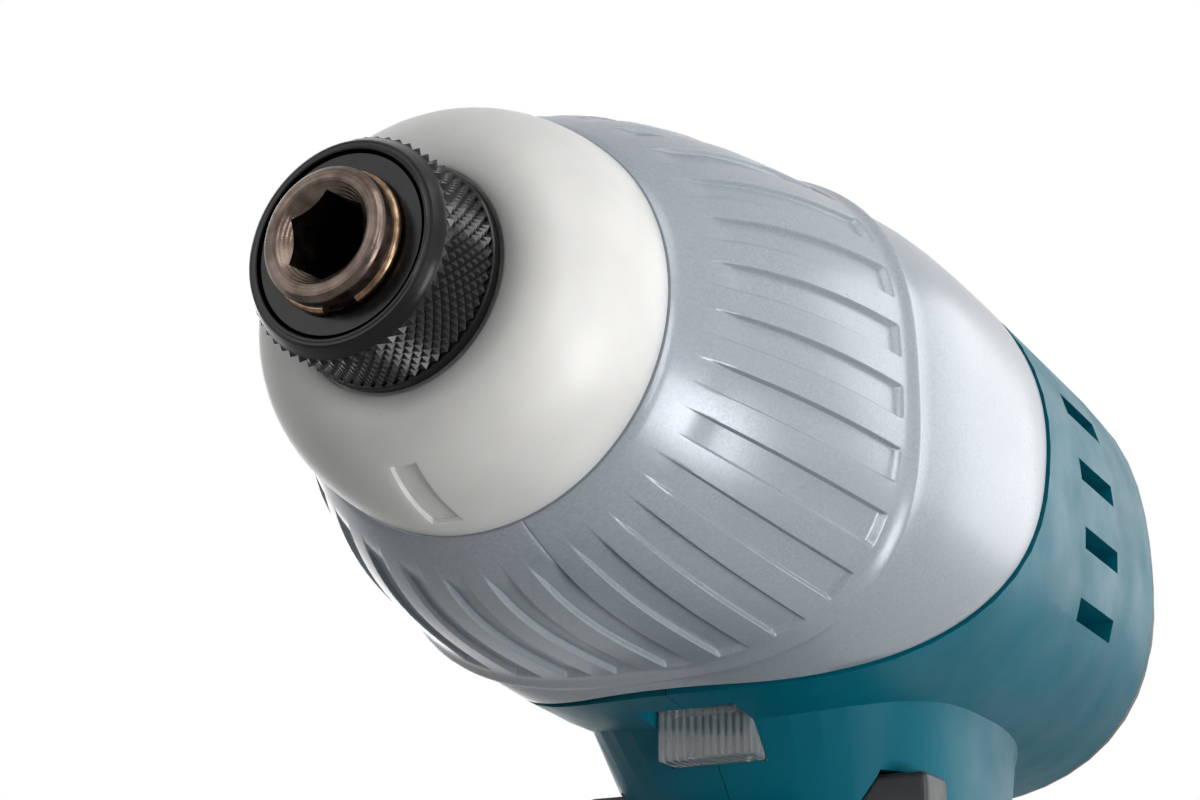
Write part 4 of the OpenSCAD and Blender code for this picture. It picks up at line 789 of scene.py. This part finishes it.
class DRIVER_OT_housing(bpy.types.Operator):
    """Rounds the housing shells, rings the rear cover and grooves the grip rubber"""
    bl_idname = "driver.housing"
    bl_label = "Housing"

    def execute(self, context):
        edge = context.scene.driver_sizes.edge_round
        for node in ("left_housing", "right_housing"):
            softened(node, 0.5 * edge)
        end = station_of(Vector(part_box("rear_cover")[0]))
        ring_depth, ring_width, proud = 0.7, 1.3, 1.0

        def rings(obj):
            floor, clear = end - ring_depth, end + proud
            for inner in (8.5, 12.0, 15.5):
                outer = inner + ring_width
                profile = [(floor, inner), (floor, outer), (clear, outer), (clear, inner)]
                carve(obj, lathe("ring_cutter", profile, segments=96))

        softened("rear_cover", 0.5 * edge, shape=rings)
        low, high = (corner[2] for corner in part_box("left_grip"))
        pitch, first, plain = 6.4 * MM, 9.0 * MM, 16.0 * MM
        levels = [low + first + pitch * i for i in range(int((high - low - plain) / pitch) + 1)]
        for node in ("left_grip", "right_grip"):
            pad = softened(node, edge, angle=40.0, segments=3)
            groove(pad, levels, width=2.2 * MM, depth=0.5 * MM)
            smooth(pad, 28.0)
        return {"FINISHED"}


class DRIVER_OT_controls(bpy.types.Operator):
    """Rounds the trigger, lever, lens, panel and buttons"""
    bl_idname = "driver.controls"
    bl_label = "Controls"

    def execute(self, context):
        edge = context.scene.driver_sizes.edge_round
        for node, share in (("trigger", 2.4), ("direction_lever", 1.6), ("lamp_lens", 0.8),
                            ("button_panel", 0.6), ("lamp_button", 0.8), ("mode_button", 0.8),
                            ("gauge_button", 0.8)):
            softened(node, share * edge, angle=40.0, segments=3)
        return {"FINISHED"}


class DRIVER_OT_battery(bpy.types.Operator):
    """Rounds the battery cases and the release latch and adds the gauge's window and lights"""
    bl_idname = "driver.battery"
    bl_label = "Battery"

    def execute(self, context):
        edge = context.scene.driver_sizes.edge_round
        corner, radius = 12.0 * MM, 2.2 * MM
        # The case's top edge is that of its side walls, below the rails.
        side_wall = 37.4 * MM
        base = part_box("battery_lower")[0][2]
        top = max(v.co.z for v in NODES["battery_upper"].data.vertices if abs(v.co.y) > side_wall)
        softened("battery_lower", 0.5 * edge, angle=40.0,
                 shape=lambda obj: round_outline(obj, "battery_lower", base, corner, radius))
        softened("battery_upper", 0.5 * edge, angle=40.0,
                 shape=lambda obj: round_outline(obj, "battery_upper", top, corner, radius))
        softened("battery_latch", 1.2 * edge, angle=40.0, segments=3)

        # Beside the gauge button: a dark window with four round lights.
        low, high = (Vector(c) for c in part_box("gauge_button"))
        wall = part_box("battery_upper")[0][0]
        level = (low.z + high.z) / 2
        thick, width, height, middle = 0.9 * MM, 23.0 * MM, 7.6 * MM, 7.0 * MM
        bpy.ops.mesh.primitive_cube_add(
            size=1.0, location=(wall, middle, level), scale=(thick, width, height))
        window = settled()
        window.name = "gauge_window"
        picking(window, "EDGE")
        for e in window.data.edges:
            a, b = (window.data.vertices[i].co for i in e.vertices)
            e.select = abs(a.x - b.x) > 0.5 * MM
        bpy.ops.object.mode_set(mode="EDIT")
        bpy.ops.mesh.bevel(offset=2.4 * MM, segments=6, affect="EDGES")
        bpy.ops.object.mode_set(mode="OBJECT")
        pick_back(window)
        bpy.ops.mesh.inset(thickness=0.8 * MM, depth=0.0)
        bpy.ops.mesh.inset(thickness=0.15 * MM, depth=-0.2 * MM)
        leave_edit()
        smooth(window, 30.0)
        dress(window, "black_plastic")
        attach(window, "battery")
        lights = []
        first, pitch = 0.1, 4.6
        for i in range(4):
            bpy.ops.mesh.primitive_cylinder_add(
                vertices=32, radius=1.3 * MM, depth=0.7 * MM, rotation=(0.0, -math.pi / 2, 0.0),
                location=(wall - 0.3 * MM, (first + pitch * i) * MM, level))
            light = settled()
            pick_back(light)
            for inset, rise in ((0.12, 0.08), (0.25, 0.08), (0.35, 0.04)):
                bpy.ops.mesh.inset(thickness=inset * MM, depth=rise * MM)
            leave_edit()
            lights.append(light)
        lights = joined(lights)
        lights.name = "gauge_lights"
        smooth(lights, 50.0)
        dress(lights, "holder_white")
        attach(lights, "battery")
        return {"FINISHED"}


class DRIVER_OT_belt_hook(bpy.types.Operator):
    """Rounds the belt hook's edges"""
    bl_idname = "driver.belt_hook"
    bl_label = "Belt hook"

    def execute(self, context):
        edge = context.scene.driver_sizes.edge_round
        softened("belt_hook", 0.7 * edge, angle=40.0)
        return {"FINISHED"}


class DRIVER_OT_screws(bpy.types.Operator):
    """Rounds the screw heads and sinks a six-lobe drive into each"""
    bl_idname = "driver.screws"
    bl_label = "Screws"

    def execute(self, context):
        # The drive's radius as a share of the head's, its cutter's length, and its narrowing between lobes.
        share, length, pinch = 0.62, 2.4 * MM, 0.7
        # Node, the way its heads face, and a head's radius in millimetres.
        for node, facing, head in (("housing_screws", (0, -1, 0), 2.9), ("rear_screws", (-1, 0, 0), 2.2),
                                   ("hook_screw", (0, -1, 0), 4.0), ("battery_screws", (0, 0, -1), 2.3)):
            obj = softened(node, 0.35 * MM, angle=40.0)
            out = Vector(facing)
            level = max(v.co.dot(out) for v in obj.data.vertices)
            heads = []
            for v in obj.data.vertices:
                if v.co.dot(out) > level - 0.01 * MM:
                    near = [h for h in heads if (h[0] - v.co).length < 2.2 * head * MM]
                    if near:
                        near[0].append(v.co.copy())
                    else:
                        heads.append([v.co.copy()])
            cutters = []
            for rim in heads:
                low = Vector([min(co[i] for co in rim) for i in range(3)])
                high = Vector([max(co[i] for co in rim) for i in range(3)])
                spot = (low + high) / 2
                bpy.ops.mesh.primitive_cylinder_add(
                    vertices=12, radius=share * head * MM, depth=length, location=spot,
                    rotation=out.to_track_quat("Z", "Y").to_euler())
                cutter = settled()
                picking(cutter, "VERT")
                for v in cutter.data.vertices:
                    v.select = (v.index // 2) % 2 == 0
                bpy.ops.object.mode_set(mode="EDIT")
                bpy.ops.transform.resize(value=[1.0 if c else pinch for c in facing], center_override=spot)
                bpy.ops.object.mode_set(mode="OBJECT")
                cutters.append(cutter)
            carve(obj, joined(cutters))
            smooth(obj, 28.0)
            dress(obj, SLOT_OF[node])
        return {"FINISHED"}


class DRIVER_OT_springs(bpy.types.Operator):
    """Winds the coil springs"""
    bl_idname = "driver.springs"
    bl_label = "Springs"

    def execute(self, context):
        # Node, joint, axis, fixed end, the other end's travel and the wire in millimetres, and turns.
        rows = (("hammer_spring", "hammer_slide", "X", "low", 8.0, 1.7, 3.5),
                ("sleeve_spring", "sleeve_slide", "X", "high", 2.4, 0.7, 2.5),
                ("trigger_spring", "trigger_slide", "X", "low", 5.0, 0.7, 2.5),
                ("latch_spring", "latch_press", "Z", "low", 4.0, 0.8, 2.5))
        for node, joint, along, fixed, travel, wire, turns in rows:
            low, high = (Vector(c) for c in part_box(node))
            axis = "XYZ".index(along)
            length = high[axis] - low[axis]
            reach = (high.y - low.y) / 2 - wire * MM / 2
            bpy.ops.mesh.primitive_circle_add(
                vertices=12, radius=wire * MM / 2, location=(reach, 0.0, wire * MM / 2 - length / 2),
                rotation=(math.pi / 2, 0.0, 0.0))
            coil = settled()
            coil.name = node + "_coil"
            wind = coil.modifiers.new("wind", "SCREW")
            wind.axis = "Z"
            wind.angle = 2 * math.pi * turns
            wind.screw_offset = length - wire * MM
            wind.steps = wind.render_steps = round(32 * turns)
            bpy.ops.object.modifier_apply(modifier="wind")
            coil.location = (low + high) / 2
            coil.rotation_euler = (0.0, math.pi / 2 if along == "X" else 0.0, 0.0)
            settled()
            bpy.ops.object.mode_set(mode="EDIT")
            bpy.ops.mesh.select_all(action="SELECT")
            bpy.ops.mesh.fill_holes(sides=0)
            bpy.ops.mesh.normals_make_consistent(inside=False)
            bpy.ops.object.mode_set(mode="OBJECT")
            smooth(coil, 40.0)
            place(coil, node)
            anchor = Vector((low + high) / 2)
            anchor[axis] = (low if fixed == "low" else high)[axis]
            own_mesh(coil)
        return {"FINISHED"}


class DRIVER_OT_mechanism(bpy.types.Operator):
    """Gives every remaining part its finish"""
    bl_idname = "driver.mechanism"
    bl_label = "Mechanism"

    def execute(self, context):
        for name, obj in NODES.items():
            dress(obj, SLOT_OF[name])
        return {"FINISHED"}


class DRIVER_OT_stage(bpy.types.Operator):
    """Sets the floor, the soft lamps, the white surround and the camera"""
    bl_idname = "driver.stage"
    bl_label = "Stage"

    def execute(self, context):
        scene = context.scene
        scene.view_settings.view_transform = "Standard"
        bpy.ops.mesh.primitive_plane_add(size=8.0, location=(0.0, 0.0, -0.0005))
        floor = settled()
        floor.name = "studio_floor"
        made, tree, shader, where = material("pale_paper", "#A4A4A2", Roughness=0.9)
        mottle(tree, shader, where, "#A1A19F", "#A7A7A5", 60.0)
        # The paper runs up into the white surround: seen by eye or in a gloss it pales with distance.
        seen = seen_ray(tree)
        far = add(tree, "VectorMath", {0: where}, operation="LENGTH")
        fade = add(tree, "MapRange", {"Value": far.outputs["Value"]}, interpolation_type="SMOOTHSTEP",
                   From_Min=0.45, From_Max=1.6)
        glow = add(tree, "Math", {0: seen}, operation="MULTIPLY")
        glow.inputs[1].default_value = 0.24
        near = add(tree, "Emission", {"Strength": glow.outputs["Value"]})
        paper = add(tree, "AddShader", {0: shader.outputs["BSDF"], 1: near.outputs["Emission"]})
        white = add(tree, "Emission", {"Strength": seen})
        both = add(tree, "MixShader", {0: fade.outputs["Result"], 1: paper.outputs["Shader"],
                                       2: white.outputs["Emission"]})
        tree.links.new(both.outputs["Shader"], tree.nodes["Material Output"].inputs["Surface"])
        floor.data.materials.append(made)

        world = scene.world or bpy.data.worlds.new("studio")
        scene.world = world
        world.use_nodes = True
        tree = world.node_tree
        tree.nodes.clear()
        seen = seen_ray(tree)
        soft = add(tree, "Background", Color=linear("#F4F6F8"), Strength=0.22)
        white = add(tree, "Background", Color=(1.0, 1.0, 1.0, 1.0), Strength=1.0)
        both = add(tree, "MixShader", {0: seen, 1: soft.outputs["Background"],
                                       2: white.outputs["Background"]})
        add(tree, "OutputWorld", {"Surface": both.outputs["Shader"]})

        # Lamps: name, place, aim, width, height, power and spread. The rear ones look at the grip.
        nose = TIP - Vector((0.035, 0.0, 0.0))
        grip = Vector((0.0, 0.0, 0.12))
        lamps = (("key_softbox", (0.061, 0.272, 0.072), nose, 0.13, 0.13, 0.13, 90),
                 ("left_strip", (0.240, 0.280, 0.170), nose, 0.03, 0.22, 0.14, 120),
                 ("top_softbox", (0.280, 0.330, 0.560), nose, 0.34, 0.34, 0.95, 180),
                 ("right_fill", (0.468, -0.296, 0.270), nose, 0.36, 0.36, 0.3, 180),
                 ("front_strip", (-0.014, -0.460, 0.561), nose, 0.25, 0.25, 0.5, 180),
                 ("rear_right", (-0.58, -0.48, 0.42), grip, 0.5, 0.5, 1.7, 180),
                 ("rear_left", (-0.62, 0.42, 0.42), grip, 0.5, 0.5, 1.7, 180))
        for name, spot, aim, width, height, power, spread in lamps:
            lamp = bpy.data.lights.new(name, "AREA")
            lamp.shape = "RECTANGLE"
            lamp.size = width
            lamp.size_y = height
            lamp.energy = power
            lamp.spread = math.radians(spread)
            obj = bpy.data.objects.new(name, lamp)
            obj.location = spot
            obj.rotation_euler = (aim - obj.location).to_track_quat("-Z", "Y").to_euler()
            obj.visible_camera = False
            scene.collection.objects.link(obj)

        # The camera's axes and place, as found from the photo.
        spot = TIP + Vector((123.19, 90.33, -66.05)) * MM
        right = Vector((-0.47510, 0.87993, 0.0))
        up = Vector((0.28935, 0.15623, 0.94439))
        back = Vector((0.83100, 0.44868, -0.32883))
        camera = bpy.data.cameras.new("photo_camera")
        camera.sensor_width = 36.0
        camera.lens = 66.0
        camera.clip_start = 0.01
        holder = bpy.data.objects.new("photo_camera", camera)
        turn = Matrix((right, up, back)).transposed().to_4x4()
        holder.matrix_world = Matrix.Translation(spot) @ turn
        scene.collection.objects.link(holder)
        scene.camera = holder
        return {"FINISHED"}


class DRIVER_PT_panel(bpy.types.Panel):
    """Lists the driver's pieces and their values"""
    bl_idname = "DRIVER_PT_panel"
    bl_label = "Impact driver"
    bl_space_type = "VIEW_3D"
    bl_region_type = "UI"
    bl_category = "Impact driver"

    def draw(self, context):
        column = self.layout.column()
        for name in ("knurl_depth", "flute_depth", "edge_round"):
            column.prop(context.scene.driver_sizes, name)
        for name in ("body", "cover", "bumper", "grip", "dark"):
            column.prop(context.scene.driver_colours, name)
        for operator in OPERATORS:
            column.operator(operator.bl_idname)


OPERATORS = (DRIVER_OT_mechanism, DRIVER_OT_anvil, DRIVER_OT_bit_sleeve, DRIVER_OT_nose_bumper,
             DRIVER_OT_nose_cover, DRIVER_OT_housing, DRIVER_OT_controls, DRIVER_OT_battery,
             DRIVER_OT_belt_hook, DRIVER_OT_screws, DRIVER_OT_springs, DRIVER_OT_stage)
CLASSES = (DriverSizes, DriverColours) + OPERATORS + (DRIVER_PT_panel,)


def register():
    for made in CLASSES:
        bpy.utils.register_class(made)
    bpy.types.Scene.driver_sizes = bpy.props.PointerProperty(type=DriverSizes)
    bpy.types.Scene.driver_colours = bpy.props.PointerProperty(type=DriverColours)


def unregister():
    del bpy.types.Scene.driver_colours
    del bpy.types.Scene.driver_sizes
    for made in reversed(CLASSES):
        bpy.utils.unregister_class(made)


def main():
    register()
    FINISH.update(make_materials())
    bpy.ops.driver.mechanism()
    bpy.ops.driver.anvil()
    bpy.ops.driver.bit_sleeve()
    bpy.ops.driver.nose_bumper()
    bpy.ops.driver.nose_cover()
    bpy.ops.driver.housing()
    bpy.ops.driver.controls()
    bpy.ops.driver.battery()
    bpy.ops.driver.belt_hook()
    bpy.ops.driver.screws()
    bpy.ops.driver.springs()
    bpy.ops.driver.stage()


if __name__ == "__main__":
    main()
